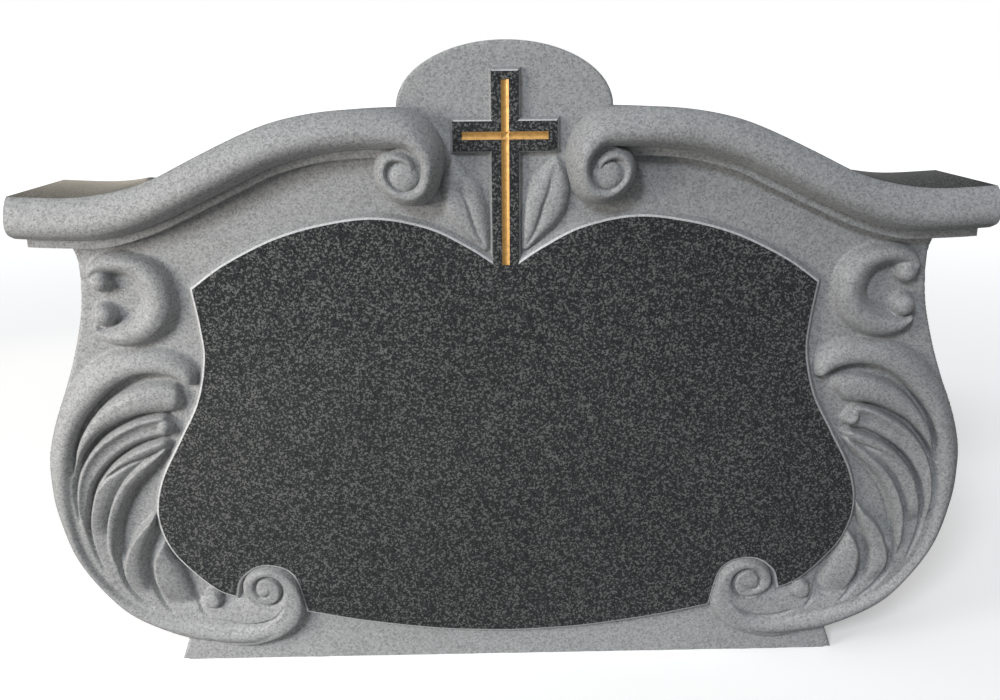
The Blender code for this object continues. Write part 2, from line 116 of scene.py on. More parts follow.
# Spirals: the centre, then the outer and inner radius at each eighth of a turn.
VOLUTE_CENTRE = (0.153, 0.846)
VOLUTE_OUTER = (0.1015, 0.0780, 0.0575, 0.0560, 0.0480, 0.0440, 0.0485, 0.0525, 0.0430, 0.0335, 0.0245)
VOLUTE_INNER = (0.0420, 0.0330, 0.0250, 0.0222, 0.0205, 0.0200, 0.0245, 0.0275, 0.0190, 0.0110, 0.0030)
VOLUTE_CREST = (0.065, 0.063, 0.059, 0.055, 0.052, 0.050, 0.050, 0.051, 0.053, 0.050, 0.038)
VOLUTE_DRUM = (0.044, 0.042, 0.038, 0.037, 0.033, 0.031, 0.035, 0.040, 0.044)
VOLUTE_EYE = 0.0225
EYE_POWERS = (2.6, 0.6)
SCROLL_CENTRE = (0.417, 0.142)
SCROLL_OUTER = (0.140, 0.103, 0.084, 0.0615, 0.0490, 0.0430, 0.0405, 0.0395, 0.0330, 0.0265)
SCROLL_INNER = (0.105, 0.050, 0.0294, 0.0280, 0.0280, 0.0250, 0.0210, 0.0165, 0.0135, 0.0110)
SCROLL_START = 1.25 * pi
SCROLL_ENTRY = 0.16
SCROLL_ENTRY_SHARE = 0.45
SCROLL_FALL = 0.10
SCROLL_BODY = 0.20
# Round forms in the scroll: centre, radius, height and rim as shares, and the power that rounds them.
SCROLL_KNOBS = (
    (SCROLL_CENTRE, 0.029, 0.90, 0.93, 0.5),
    (SCROLL_CENTRE, 0.009, 0.98, 0.85, 0.5),
    ((0.508, 0.1265), 0.0155, 0.98, 0.80, 0.35),
)

# The panel's face on the right half, with sharp corners between its smooth runs.
PANEL_TOP = (
    (0.019, 0.705), (0.060, 0.732), (0.120, 0.762), (0.200, 0.778), (0.280, 0.770),
    (0.360, 0.748), (0.440, 0.709), (0.494, 0.671),
)
PANEL_SIDE = (
    (0.494, 0.671), (0.486, 0.610), (0.484, 0.555), (0.501, 0.484), (0.535, 0.418),
    (0.572, 0.347), (0.585, 0.285), (0.572, 0.228), (0.541, 0.184), (0.500, 0.145), (0.469, 0.131),
)
PANEL_BITE = (
    (0.469, 0.131), (0.459, 0.164), (0.427, 0.187), (0.387, 0.184), (0.362, 0.160), (0.347, 0.100),
)
PANEL_FOOT = ((0.347, 0.100), (0.250, 0.080), (0.120, 0.062), (0.0, 0.056))
PANEL_RUNS = ((PANEL_TOP, 60), (PANEL_SIDE, 90), (PANEL_BITE, 44), (PANEL_FOOT, 40))
LEAST_MITRE = 0.35
# The unpolished lip round the panel: its fall as a share of its width. On the cross only lips that face
# upwards get the paler honed granite, as a painted highlight, and the others get the dark polished granite as
# painted shade.
LIP_FALL = 0.6
LIT_LIP_FACES_UP = 0.3
FACE_GAP = 0.0005
# The lines sunk in the cross end higher above its foot than below its top, by this many margins.
CHANNEL_FOOT_MARGINS = 3
GILDING_GAP = 0.0001
GILDING_EDGE = -0.0004
GILDING_BED = 0.0008

# Strips of carving: outer edge and inner edge, both from the tip to the root.
STEM = (
    (
        (0.500, 0.521), (0.502, 0.541), (0.514, 0.558), (0.541, 0.572), (0.583, 0.576), (0.628, 0.571),
        (0.662, 0.555), (0.692, 0.528), *FLANK[7:0:-1],
        (0.562, 0.050), (0.510, 0.040), (0.455, 0.036), (0.418, 0.042), (0.388, 0.056), (0.365, 0.080),
    ),
    (
        (0.507, 0.507), (0.516, 0.512), (0.538, 0.525), (0.569, 0.531), (0.602, 0.526), (0.636, 0.507),
        (0.667, 0.477), (0.694, 0.442), (0.711, 0.402), (0.720, 0.355), (0.724, 0.300), (0.718, 0.240),
        (0.700, 0.190), (0.668, 0.146), (0.632, 0.118), (0.595, 0.100), (0.555, 0.088), (0.515, 0.080),
        (0.480, 0.074), (0.450, 0.076), (0.425, 0.084), (0.405, 0.100),
    ),
)
LEAVES = {
    "first": (
        (
            (0.526, 0.497), (0.531, 0.511), (0.544, 0.517), (0.568, 0.518), (0.602, 0.511), (0.636, 0.496),
            (0.662, 0.476), (0.682, 0.453), (0.697, 0.430), (0.708, 0.406), (0.716, 0.368),
        ),
        (
            (0.529, 0.482), (0.538, 0.469), (0.553, 0.465), (0.580, 0.464), (0.611, 0.457), (0.639, 0.445),
            (0.662, 0.432), (0.681, 0.413), (0.699, 0.388), (0.710, 0.360), (0.716, 0.325),
        ),
    ),
    "second": (
        (
            (0.549, 0.452), (0.554, 0.463), (0.570, 0.465), (0.594, 0.460), (0.617, 0.451), (0.642, 0.438),
            (0.667, 0.420), (0.688, 0.397), (0.703, 0.370), (0.712, 0.340), (0.716, 0.306), (0.712, 0.262),
            (0.700, 0.215),
        ),
        (
            (0.549, 0.438), (0.557, 0.425), (0.579, 0.420), (0.603, 0.413), (0.628, 0.400), (0.653, 0.381),
            (0.674, 0.357), (0.688, 0.333), (0.697, 0.298), (0.701, 0.260), (0.696, 0.228), (0.684, 0.190),
        ),
    ),
    "third": (
        (
            (0.552, 0.418), (0.566, 0.420), (0.589, 0.413), (0.623, 0.399), (0.650, 0.380), (0.670, 0.358),
            (0.684, 0.336), (0.696, 0.296), (0.702, 0.260), (0.698, 0.222),
        ),
        (
            (0.556, 0.407), (0.590, 0.388), (0.614, 0.369), (0.632, 0.351), (0.648, 0.330), (0.660, 0.307),
            (0.671, 0.278), (0.674, 0.250), (0.672, 0.215),
        ),
    ),
    "fourth": (
        (
            (0.556, 0.408), (0.570, 0.401), (0.590, 0.390), (0.613, 0.372), (0.631, 0.355), (0.647, 0.334),
            (0.659, 0.312), (0.670, 0.282), (0.675, 0.250), (0.673, 0.210), (0.664, 0.165),
        ),
        (
            (0.560, 0.401), (0.575, 0.381), (0.600, 0.355), (0.622, 0.331), (0.635, 0.308), (0.646, 0.282),
            (0.654, 0.253), (0.657, 0.205), (0.649, 0.163), (0.634, 0.136),
        ),
    ),
    "fifth": (
        (
            (0.588, 0.294), (0.604, 0.275), (0.628, 0.251), (0.646, 0.221), (0.655, 0.187), (0.650, 0.155),
            (0.632, 0.122),
        ),
        (
            (0.592, 0.270), (0.601, 0.247), (0.612, 0.222), (0.619, 0.192), (0.614, 0.155), (0.600, 0.120),
            (0.586, 0.100),
        ),
    ),
    "sixth": (
        ((0.582, 0.238), (0.598, 0.215), (0.606, 0.188), (0.603, 0.155), (0.589, 0.122), (0.572, 0.100)),
        ((0.577, 0.234), (0.566, 0.207), (0.553, 0.182), (0.545, 0.151), (0.540, 0.124), (0.530, 0.103)),
    ),
}
CURL = (
    (
        (0.658, 0.690), (0.656, 0.705), (0.646, 0.720), (0.628, 0.729), (0.606, 0.732), (0.582, 0.729),
        (0.553, 0.720), (0.531, 0.698), (0.521, 0.666), (0.523, 0.635), (0.537, 0.608), (0.565, 0.587),
        (0.597, 0.578), (0.628, 0.581), (0.648, 0.595), (0.656, 0.612),
    ),
    (
        (0.650, 0.687), (0.641, 0.692), (0.626, 0.696), (0.611, 0.697), (0.597, 0.694), (0.585, 0.684),
        (0.578, 0.667), (0.577, 0.650), (0.588, 0.633), (0.605, 0.623), (0.622, 0.617), (0.640, 0.613),
        (0.648, 0.615),
    ),
)
SPANDREL_LEAF = (
    (
        (0.080, 0.872), (0.090, 0.853), (0.098, 0.830), (0.098, 0.805), (0.090, 0.783), (0.073, 0.762),
        (0.050, 0.742), (0.034, 0.727),
    ),
    (
        (0.076, 0.870), (0.058, 0.850), (0.042, 0.832), (0.032, 0.806), (0.028, 0.780), (0.026, 0.752),
        (0.027, 0.727),
    ),
)
TRUNK = (
    (
        (0.716, 0.480), (0.738, 0.420), (0.748, 0.344), (0.742, 0.285), (0.720, 0.210), (0.672, 0.136),
        (0.630, 0.098), (0.570, 0.068), (0.500, 0.054), (0.440, 0.054), (0.400, 0.068), (0.384, 0.092),
        (0.384, 0.112),
    ),
    (
        (0.700, 0.470), (0.706, 0.410), (0.694, 0.352), (0.680, 0.285), (0.660, 0.222), (0.622, 0.168),
        (0.585, 0.138), (0.545, 0.122), (0.500, 0.130), (0.462, 0.130), (0.430, 0.134), (0.408, 0.136),
        (0.396, 0.128),
    ),
)
# The curl's two knobs and the second leaf's: centre, radius and height.
KNOBS = (
    ((0.636, 0.686), 0.0175, 0.027), ((0.636, 0.632), 0.0190, 0.028), ((0.558, 0.441), 0.0120, 0.029),
)
KNOB_RIM = 0.35
KNOB_POWER = 0.5

# On the right the upper leaves' tips, which lie round this point, are cut this much further out.
TIPS_AT = (0.560, 0.466)
TIPS_SHIFT = 0.018
TIPS_REACH = (0.052, 0.042)

# Sections across a strip: share of the way across, and share of the crest's height.
OVERHANGING = ((0.0, 0.04), (0.08, 0.36), (0.26, 0.74), (0.52, 1.00), (0.78, 0.95), (0.93, 0.62), (1.0, 0.12))
ROUNDED = ((0.0, 0.24), (0.10, 0.60), (0.30, 0.93), (0.55, 1.00), (0.80, 0.86), (1.0, 0.58))
ROPE = ((0.0, 0.06), (0.10, 0.55), (0.32, 0.95), (0.55, 1.00), (0.80, 0.72), (1.0, 0.18))
COILED = ((0.0, 0.30), (0.08, 0.74), (0.24, 0.96), (0.55, 1.00), (0.84, 0.88), (1.0, 0.45))
SWELLING = ((0.0, 0.95), (0.25, 1.00), (0.60, 0.92), (0.85, 0.62), (1.0, 0.10))
PLUMP = ((0.0, 0.15), (0.08, 0.58), (0.24, 0.92), (0.48, 1.00), (0.72, 0.92), (0.90, 0.60), (1.0, 0.15))
DISHED = ((0.0, 0.20), (0.10, 0.92), (0.20, 1.00), (0.38, 0.66), (0.60, 0.52), (0.84, 0.56), (1.0, 0.12))
RIDGED = ((0.0, 0.40), (0.12, 0.98), (0.30, 1.00), (0.56, 0.90), (0.82, 0.66), (0.94, 0.40), (1.0, 0.10))
CREASED = ((0.0, 0.45), (0.12, 0.86), (0.32, 1.00), (0.50, 0.86), (0.66, 0.98), (0.86, 0.84), (1.0, 0.42))
LEAF_SECTIONS = {"first": (PLUMP, PLUMP), "second": (DISHED, RIDGED)}
OTHER_LEAVES = (RIDGED, RIDGED)

# Crests along each strip from its tip to its root, as shares of its relief.
STEM_CRESTS = (0.90, 1, 1, 1, 1, 1, 0.96)
TRUNK_CRESTS = (0.35, 0.66, 0.66, 0.66, 0.66, 0.86)
LEAF_HEIGHT = 0.96
LEAF_CRESTS = (0.80, 1, 1, 0.97, 0.86)
CURL_CRESTS = (0.80, 0.95, 1, 1, 0.95, 0.70)
SPANDREL_CRESTS = (0.5, 0.8, 1, 1, 0.8, 0.6)
# A rounded end keeps this share of its height.
END_SHARE = 0.35

# How far the ends of the strips are rounded off.
STEM_TIP = 0.016
TRUNK_TIP = 0.04
LEAF_TIP = 0.012
LEAF_ROOT = 0.07
CURL_TIP = 0.010

# Cuts made with a narrow chisel: the line, its width and its depth.
GROOVES = (
    (
        (
            (0.508, 0.506), (0.537, 0.525), (0.569, 0.530), (0.602, 0.525), (0.636, 0.506), (0.667, 0.477),
            (0.693, 0.443), (0.711, 0.402), (0.719, 0.360),
        ),
        0.012, 0.018,
    ),
    (
        (
            (0.536, 0.474), (0.546, 0.465), (0.576, 0.463), (0.610, 0.456), (0.639, 0.444), (0.662, 0.431),
            (0.681, 0.412), (0.699, 0.389), (0.711, 0.361), (0.718, 0.325), (0.716, 0.280),
        ),
        0.009, 0.014,
    ),
    (
        (
            (0.554, 0.423), (0.579, 0.418), (0.603, 0.411), (0.628, 0.398), (0.654, 0.379), (0.675, 0.355),
            (0.690, 0.329), (0.699, 0.294), (0.703, 0.260), (0.698, 0.224), (0.686, 0.185),
        ),
        0.008, 0.012,
    ),
    (
        (
            (0.564, 0.405), (0.592, 0.392), (0.621, 0.382), (0.648, 0.367), (0.668, 0.351), (0.683, 0.331),
        ),
        0.007, 0.008,
    ),
    (
        (
            (0.575, 0.395), (0.614, 0.368), (0.634, 0.349), (0.650, 0.328), (0.662, 0.304), (0.673, 0.274),
            (0.675, 0.240),
        ),
        0.006, 0.004,
    ),
    (
        (
            (0.561, 0.398), (0.577, 0.377), (0.602, 0.351), (0.624, 0.327), (0.639, 0.302), (0.650, 0.276),
            (0.658, 0.245), (0.661, 0.200), (0.652, 0.160), (0.634, 0.132), (0.610, 0.112),
        ),
        0.010, 0.013,
    ),
    (
        (
            (0.590, 0.284), (0.593, 0.258), (0.604, 0.228), (0.613, 0.193), (0.607, 0.152), (0.592, 0.120),
            (0.578, 0.103),
        ),
        0.009, 0.013,
    ),
    (
        (
            (0.580, 0.237), (0.568, 0.207), (0.554, 0.182), (0.544, 0.151), (0.538, 0.124), (0.527, 0.103),
            (0.516, 0.092),
        ),
        0.009, 0.012,
    ),
    (
        (
            (0.498, 0.087), (0.472, 0.0785), (0.447, 0.076), (0.424, 0.0795), (0.403, 0.0905),
            (0.3855, 0.112),
        ),
        0.0058, 0.009,
    ),
    (
        (
            (0.455, 0.134), (0.4375, 0.122), (0.4125, 0.114), (0.395, 0.1225), (0.3885, 0.1415),
            (0.395, 0.1595), (0.411, 0.1675), (0.427, 0.163), (0.4335, 0.149), (0.4295, 0.1345),
            (0.417, 0.131), (0.408, 0.139),
        ),
        0.0062, 0.012,
    ),
    (
        (
            (0.071, 0.841), (0.067, 0.820), (0.058, 0.795), (0.051, 0.771), (0.042, 0.748), (0.032, 0.734),
        ),
        0.0044, 0.008,
    ),
    (
        (
            (0.492, 0.132), (0.4915, 0.121), (0.499, 0.111), (0.511, 0.1095), (0.522, 0.115), (0.5255, 0.127),
        ),
        0.004, 0.006,
    ),
)
# A groove narrows to its ends, which lie this share of a half wave in, and its sides fall by this power.
GROOVE_ENDS = 0.04
GROOVE_PROFILE = 0.8

# How finely the forms are drawn.
OUTLINE_POINTS = 150
FINE_STEPS = 40
GRID_REACH = 0.765
STRIP_STEP = 0.0025
STRIP_ACROSS = 33
SCROLL_STATIONS = 260
SCROLL_ACROSS = 25
KNOB_STEPS = (41, 13)
GROOVE_STATIONS = 60
GROOVE_ACROSS = 13
STRAIGHT_STATIONS = 120
VOLUTE_STATIONS = 220
MOULDING_POINTS = 40
CENTRE_RINGS = 30
CENTRE_SEGMENTS = 96
FILLET_STATIONS = 110
FILLET_POINTS = 8
GILDING_STATIONS = 24
GILDING_POINTS = 20
BLOCK = 4000

# Blurs and reaches in cells of the carving's grid, and what counts as nothing.
CARVING_BLUR = 1.0
GROOVE_BLUR = 0.75
EDGE_BLUR = 2.0
RUN_BLUR = 3.0
SNAP_REACH = 1.5
NEAR_EDGE = 0.001
LEAST_AREA = 1e-9
EDGE_SLACK = 1e-4
LEAST_STEP = 1e-6
DEEPEST = -0.002
UNDER_CHAMFER = 0.4
ARRIS_SHARE = 0.8

# The chisel's unevenness: the seed, then each wave's length in cells and share of the depth.
DRESSING_SEED = 11
DRESSING_WAVES = ((7.0, 1.0), (2.6, 0.35))

# Edges sharper than this many degrees stay sharp.
SLAB_SHARP = 30
SKIN_SHARP = 62
SWEPT_SHARP = 38
VOLUTE_SHARP = 50
PANEL_SHARP = 20
GILDING_SHARP = 60

# Granite finishes: size of the grains, shares of the dark mineral and of it with the middle one,
# roughness, tooling, unevenness of the tone, and how much paler the stone is painted at its foot, as painted
# light from the floor.
FINISHES = {
    "carved": (0.0026, (0.20, 0.66), 0.62, 0.30, 0.04, 1.30),
    "sawn": (0.0026, (0.25, 0.68), 0.50, 0.18, 0.05, 1.0),
    "polished": (0.0025, (0.46, 0.74), 0.16, 0.02, 0.10, 1.0),
    "honed": (0.0018, (0.16, 0.60), 0.40, 0.05, 0.03, 1.1),
}
# Its three minerals as shares of the carved stone's grey. On the polished face the middle one is a share
# of the dark one.
# The honed lip is paler than the carved stone: partly its unpolished finish, partly a painted highlight along
# the edge.
GREY_TONES = {"carved": (0.60, 1.0, 1.35), "sawn": (0.50, 0.90, 1.20), "honed": (1.1, 1.7, 2.1)}
POLISHED_MIDDLE = 2.6
FINE_GRAINS = 2.3
FINE_SHARE = 0.38
GRAIN_SOFTNESS = 0.05
# Heights over which the painted light from the floor fades out towards the top.
FOOT_LIGHT_SPAN = (0.04, 0.16)
WORN_GOLD = 0.72

# The studio: the camera fitted to the photograph, then each light's kind, place, target, power, tint and
# size.
CAMERA_PLACE = (-0.0369, -1.6435, 1.0170)
CAMERA_TURN = (0.973, 16.306, -0.524)
CAMERA_LENS = 36
CAMERA_SENSOR = 36
LIGHTS = {
    "key": ("SUN", (-1.3, -2.4, 2.15), (0.0, -0.1, 0.5), 1.36, (0.90, 0.95, 1.0), {"angle": radians(12)}),
    "left soft box": ("AREA", (-1.95, -1.25, 0.95), (-0.4, -0.1, 0.4), 34, (1.0, 0.95, 0.885), {"size": 0.8}),
    "top soft box": ("AREA", (0.3, -0.9, 2.4), (0.1, -0.1, 0.6), 8, (0.93, 0.97, 1.0), {"size": 1.5}),
    "warm card": (
        "AREA", (-1.7, 1.8, 1.6), (-0.65, 0.0, 1.1), 4.0, (1.0, 0.89, 0.70),
        {"shape": "RECTANGLE", "size": 1.0, "size_y": 2.1},
    ),
}
FLOOR_RADIUS = 40
FLOOR_SEGMENTS = 96
FLOOR_BOUNCE = 0.34
# The floor's painted glow, seen only by the camera: distances from the middle, and the glow at each.
FLOOR_GLOW_SPAN = (("From Min", 1.2), ("From Max", 7.0), ("To Min", 0.34), ("To Max", 0.80))
WORLD_FILL = 0.20


def smooth_run(points, count):
    """count points along the smooth curve through the given ones, in even shares of its spans."""
    given = np.asarray(points, float)
    ends = np.vstack([given[:1], given, given[-1:]])
    at = np.linspace(0, len(given) - 1, count)
    span = np.minimum(at.astype(int), len(given) - 2)
    t = (at - span)[:, None]
    a, b, c, d = (ends[span + k] for k in range(4))
    return 0.5 * (2 * b + (c - a) * t + (2 * a - 5 * b + 4 * c - d) * t**2 + (3 * b - a - 3 * c + d) * t**3)


def travelled(run):
    """Length gone at each point of a run."""
    return np.concatenate([[0.0], np.cumsum(np.hypot(*np.diff(run, axis=0).T))])


def even_run(points, count):
    """count points along the smooth curve through the given ones, in even steps of its length."""
    fine = smooth_run(points, FINE_STEPS * len(points))
    gone = travelled(fine)
    steps = np.linspace(0, gone[-1], count)
    return np.column_stack([np.interp(steps, gone, column) for column in fine.T])


def smooth_values(values, count):
    return smooth_run([(value,) for value in values], count)[:, 0]


def section_at(points, across):
    """Height share of a section at each share of the way across, smooth between its points."""
    x, y = np.array(points).T
    slope = np.gradient(y, x)
    k = np.clip(np.searchsorted(x, across, side="right") - 1, 0, len(x) - 2)
    width = x[k + 1] - x[k]
    t = (across - x[k]) / width
    return (
        y[k] * (1 + 2 * t) * (1 - t) ** 2 + slope[k] * width * t * (1 - t) ** 2
        + y[k + 1] * t**2 * (3 - 2 * t) + slope[k + 1] * width * t**2 * (t - 1)
    )


def bell(sigma):
    """The reach of a blur by sigma cells to each side, and its weights."""
    reach = int(3 * sigma + 1)
    weights = np.exp(-0.5 * (np.arange(-reach, reach + 1) / sigma) ** 2)
    return reach, weights / weights.sum()


def softened(grid, sigma):
    """A grid of heights blurred by sigma cells."""
    reach, weights = bell(sigma)
    for axis in (0, 1):
        padded = np.pad(grid, [(reach, reach) if k == axis else (0, 0) for k in (0, 1)], mode="edge")
        size = grid.shape[axis]
        grid = sum(w * padded.take(np.arange(k, k + size), axis) for k, w in enumerate(weights))
    return grid


def mirrored(half):
    """A closed outline from its right half."""
    return np.vstack([half, half[-2::-1] * (-1, 1)])


def half_outline():
    """The right half of the stone's outline, from the foot's corner to the top of the crown."""
    turn = np.linspace(0, pi / 2, OUTLINE_POINTS // 3)
    crown = np.column_stack([
        CROWN_FOOT[0] * np.cos(turn), CROWN_FOOT[1] + (CROWN_TOP - CROWN_FOOT[1]) * np.sin(turn)
    ])
    return np.vstack([[FOOT_BOTTOM], smooth_run(FLANK, OUTLINE_POINTS), UNDER_CORNICE, crown])


def panel_outline():
    """The panel's face on the right half, from the foot of the cross down to the middle of its foot."""
    return np.vstack([smooth_run(run, count)[:-1] for run, count in PANEL_RUNS] + [[PANEL_FOOT[-1]]])


def cross_outline(sizes):
    """The right half of the cross above the panel, from its foot to its top."""
    top = CROWN_TOP - sizes.cross_below_crown
    shaft, arm = sizes.shaft_width / 2, sizes.arm_span / 2
    low = top - sizes.arm_drop
    high = low + sizes.arm_height
    return np.array([(shaft, low), (arm, low), (arm, high), (shaft, high), (shaft, top)])


def grown(outline, by):
    """A closed outline moved outwards by an amount given for all of it or for each point."""
    before, after = np.roll(outline, 1, 0), np.roll(outline, -1, 0)
    turn = np.sign(np.sum(outline[:, 0] * after[:, 1] - after[:, 0] * outline[:, 1]))
    normals = []
    for start, end in ((before, outline), (outline, after)):
        run = end - start
        run /= np.hypot(*run.T)[:, None]
        normals.append(np.column_stack([run[:, 1], -run[:, 0]]) * turn)
    middle = (normals[0] + normals[1]) / 2
    return outline + middle * (by / np.maximum((middle**2).sum(1), LEAST_MITRE))[:, None]


class Relief:
    """Heights of the carving over a square grid on the right half of the front."""

    def __init__(self, cell):
        self.cell = cell
        self.columns = int(GRID_REACH / cell) + 2
        self.rows = int(CROWN_TOP / cell) + 3
        self.height = np.zeros((self.rows, self.columns))
        self.cut = np.zeros_like(self.height)

    def press(self, layer, x, z, height):
        """Raises the layer to a patch given as rows of points with heights."""
        quads = np.arange(x.size).reshape(x.shape)
        a, b, c, d = quads[:-1, :-1], quads[1:, :-1], quads[1:, 1:], quads[:-1, 1:]
        corners = np.concatenate([
            np.stack([a, b, c], -1).reshape(-1, 3), np.stack([a, c, d], -1).reshape(-1, 3)
        ])
        px, pz, ph = (values.ravel()[corners] for values in (x / self.cell, z / self.cell, height))
        area = (px[:, 1] - px[:, 0]) * (pz[:, 2] - pz[:, 0]) - (px[:, 2] - px[:, 0]) * (pz[:, 1] - pz[:, 0])
        real = np.abs(area) > LEAST_AREA
        px, pz, ph, area = px[real], pz[real], ph[real], area[real]
        low_x, low_z = np.ceil(px.min(1)).astype(int), np.ceil(pz.min(1)).astype(int)
        reach = int(max((px.max(1) - px.min(1)).max(), (pz.max(1) - pz.min(1)).max())) + 2
        for i in range(reach):
            for j in range(reach):
                gx, gz = low_x + i, low_z + j
                u = ((gx - px[:, 0]) * (pz[:, 2] - pz[:, 0]) - (px[:, 2] - px[:, 0]) * (gz - pz[:, 0])) / area
                v = ((px[:, 1] - px[:, 0]) * (gz - pz[:, 0]) - (gx - px[:, 0]) * (pz[:, 1] - pz[:, 0])) / area
                inside = (u >= -EDGE_SLACK) & (v >= -EDGE_SLACK) & (u + v <= 1 + EDGE_SLACK)
                inside &= (gx >= 0) & (gx < self.columns) & (gz >= 0) & (gz < self.rows)
                value = ph[:, 0] + (ph[:, 1] - ph[:, 0]) * u + (ph[:, 2] - ph[:, 0]) * v
                np.maximum.at(layer, (gz[inside], gx[inside]), value[inside])

    def strip(self, edges, sections, crests, tip=0.0, root=0.0):
        """Presses a strip between two edges. sections holds the section at the tip and at the root."""
        longest = max(travelled(np.array(edge))[-1] for edge in edges)
        stations = int(longest / STRIP_STEP) + 4
        outer, inner = even_run(edges[0], stations), even_run(edges[1], stations)
        middle, half = (outer + inner) / 2, (outer - inner) / 2
        gone = travelled(middle)
        crest = smooth_values(crests, stations)
        if tip:
            swell = np.sqrt(np.clip(1 - (1 - np.minimum(gone / tip, 1)) ** 2, 0, 1))
            half = half * swell[:, None]
            crest = crest * (END_SHARE + (1 - END_SHARE) * swell)
        if root:
            sink = np.clip((gone[-1] - gone) / root, 0, 1)
            crest = crest * (END_SHARE + (1 - END_SHARE) * sink**2 * (3 - 2 * sink))
        across = np.linspace(0, 1, STRIP_ACROSS)
        share = np.linspace(0, 1, stations)[:, None]
        section = section_at(sections[0], across) * (1 - share) + section_at(sections[1], across) * share
        spread = (1 - 2 * across)[None, :, None]
        points = middle[:, None, :] + half[:, None, :] * spread
        self.press(self.height, points[..., 0], points[..., 1], crest[:, None] * section)

    def spiral(self, centre, radii, relief, section):
        """Presses the scroll's ridge, which starts low at the flank, rises towards the middle and coils."""
        outer, inner = (smooth_values(values, SCROLL_STATIONS) for values in radii)
        gone = np.linspace(0, 1, SCROLL_STATIONS)
        angle = SCROLL_START - (len(radii[0]) - 1) * pi / 4 * gone
        across = np.linspace(0, 1, SCROLL_ACROSS)
        radius = outer[:, None] + (inner - outer)[:, None] * across
        start = np.clip(gone / SCROLL_ENTRY, 0, 1)
        entry = SCROLL_ENTRY_SHARE + (1 - SCROLL_ENTRY_SHARE) * start**2 * (3 - 2 * start)
        fall = relief * entry * (1 - SCROLL_FALL * gone)
        share = SCROLL_BODY + (1 - SCROLL_BODY) * section_at(section, across)
        self.press(
            self.height, centre[0] - np.sin(angle)[:, None] * radius,
            centre[1] + np.cos(angle)[:, None] * radius, fall[:, None] * share,
        )

    def knob(self, centre, radius, height, rim=KNOB_RIM, power=KNOB_POWER):
        """Presses a round form that has this share of its height at its rim."""
        round_steps, out_steps = KNOB_STEPS
        turn, out = np.meshgrid(np.linspace(0, 2 * pi, round_steps), np.linspace(0, 1, out_steps))
        rise = rim + (1 - rim) * (1 - out**2) ** power
        self.press(
            self.height, centre[0] + out * radius * np.cos(turn), centre[1] + out * radius * np.sin(turn),
            height * rise,
        )

    def groove(self, line, width, depth):
        """Cuts along a line, narrower and shallower towards its ends."""
        run = even_run(line, GROOVE_STATIONS)
        slope = np.gradient(run, axis=0)
        slope /= np.hypot(*slope.T)[:, None]
        side = np.column_stack([-slope[:, 1], slope[:, 0]])
        taper = np.sqrt(np.sin(np.linspace(GROOVE_ENDS, 1 - GROOVE_ENDS, GROOVE_STATIONS) * pi))
        across = np.linspace(-1, 1, GROOVE_ACROSS)
        out = across[None, :, None] * width / 2 * taper[:, None, None]
        points = run[:, None, :] + side[:, None, :] * out
        fall = depth * taper[:, None] * (1 - np.abs(across)) ** GROOVE_PROFILE
        self.press(self.cut, points[..., 0], points[..., 1], fall)


def carve_relief(sizes, cell):
    """The heights of all that is carved on the right half."""
    relief = Relief(cell)
    full = sizes.scroll_relief

    def strip(edges, sections, height, shares, **ends):
        relief.strip(edges, sections, [share * height for share in shares], **ends)

    strip(STEM, (OVERHANGING, ROUNDED), full, STEM_CRESTS, tip=STEM_TIP)
    strip(TRUNK, (SWELLING, SWELLING), full, TRUNK_CRESTS, tip=TRUNK_TIP)
    for name, edges in LEAVES.items():
        sections = LEAF_SECTIONS.get(name, OTHER_LEAVES)
        strip(edges, sections, full * LEAF_HEIGHT, LEAF_CRESTS, tip=LEAF_TIP, root=LEAF_ROOT)
    strip(CURL, (ROPE, ROPE), sizes.curl_relief, CURL_CRESTS, tip=CURL_TIP)
    strip(SPANDREL_LEAF, (CREASED, CREASED), sizes.spandrel_relief, SPANDREL_CRESTS)
    for centre, radius, height in KNOBS:
        relief.knob(centre, radius, height)
    relief.spiral(SCROLL_CENTRE, (SCROLL_OUTER, SCROLL_INNER), full, COILED)
    for centre, radius, height, rim, power in SCROLL_KNOBS:
        relief.knob(centre, radius, full * height, rim, power)
    for line, width, depth in GROOVES:
        relief.groove(line, width, depth)
    carved = softened(relief.height, CARVING_BLUR)
    return np.maximum(carved - softened(relief.cut, GROOVE_BLUR), DEEPEST)


def right_hand(heights, cell):
    """The relief with the tips of its upper leaves a little further out, as they are cut on the right."""
    rows, columns = heights.shape
    x = np.arange(columns) * cell
    wide, high = TIPS_REACH
    moved = np.empty_like(heights)
    for row in range(rows):
        near = np.exp(-(((row * cell - TIPS_AT[1]) / high) ** 2) - ((x - TIPS_AT[0]) / wide) ** 2)
        moved[row] = np.interp(x - TIPS_SHIFT * near, x, heights[row])
    return moved


def nearest_on(outline, points):
    """Distance from each point to a closed outline, and the nearest point on it."""
    start, run = outline, np.roll(outline, -1, 0) - outline
    length = (run**2).sum(1)
    distance = np.empty(len(points))
    nearest = np.empty_like(points)
    for first in range(0, len(points), BLOCK):
        block = points[first : first + BLOCK]
        t = ((block[:, None] - start) * run).sum(2) / length
        foot = start + run * np.clip(t, 0, 1)[..., None]
        gap = ((block[:, None] - foot) ** 2).sum(2)
        best = gap.argmin(1)
        rows = np.arange(len(block))
        distance[first : first + BLOCK] = np.sqrt(gap[rows, best])
        nearest[first : first + BLOCK] = foot[rows, best]
    return distance, nearest


def inside_rows(half, x, z):
    """True where a point lies inside an outline whose right half rises steadily."""
    return np.abs(x) <= np.interp(z, half[:, 1], half[:, 0])


def inside_polygon(outline, x, z):
    """True where a point lies inside any closed outline, by crossings along its row."""
    found = np.zeros(x.shape, bool)
    after = np.roll(outline, -1, 0)
    for (ax, az), (bx, bz) in zip(outline, after):
        if az == bz:
            continue
        spans = (az > z) != (bz > z)
        found ^= spans & (x < ax + (z - az) * (bx - ax) / (bz - az))
    return found


def link_object(name, data):
    obj = bpy.data.objects.new(name, data)
    bpy.context.scene.collection.objects.link(obj)
    return obj


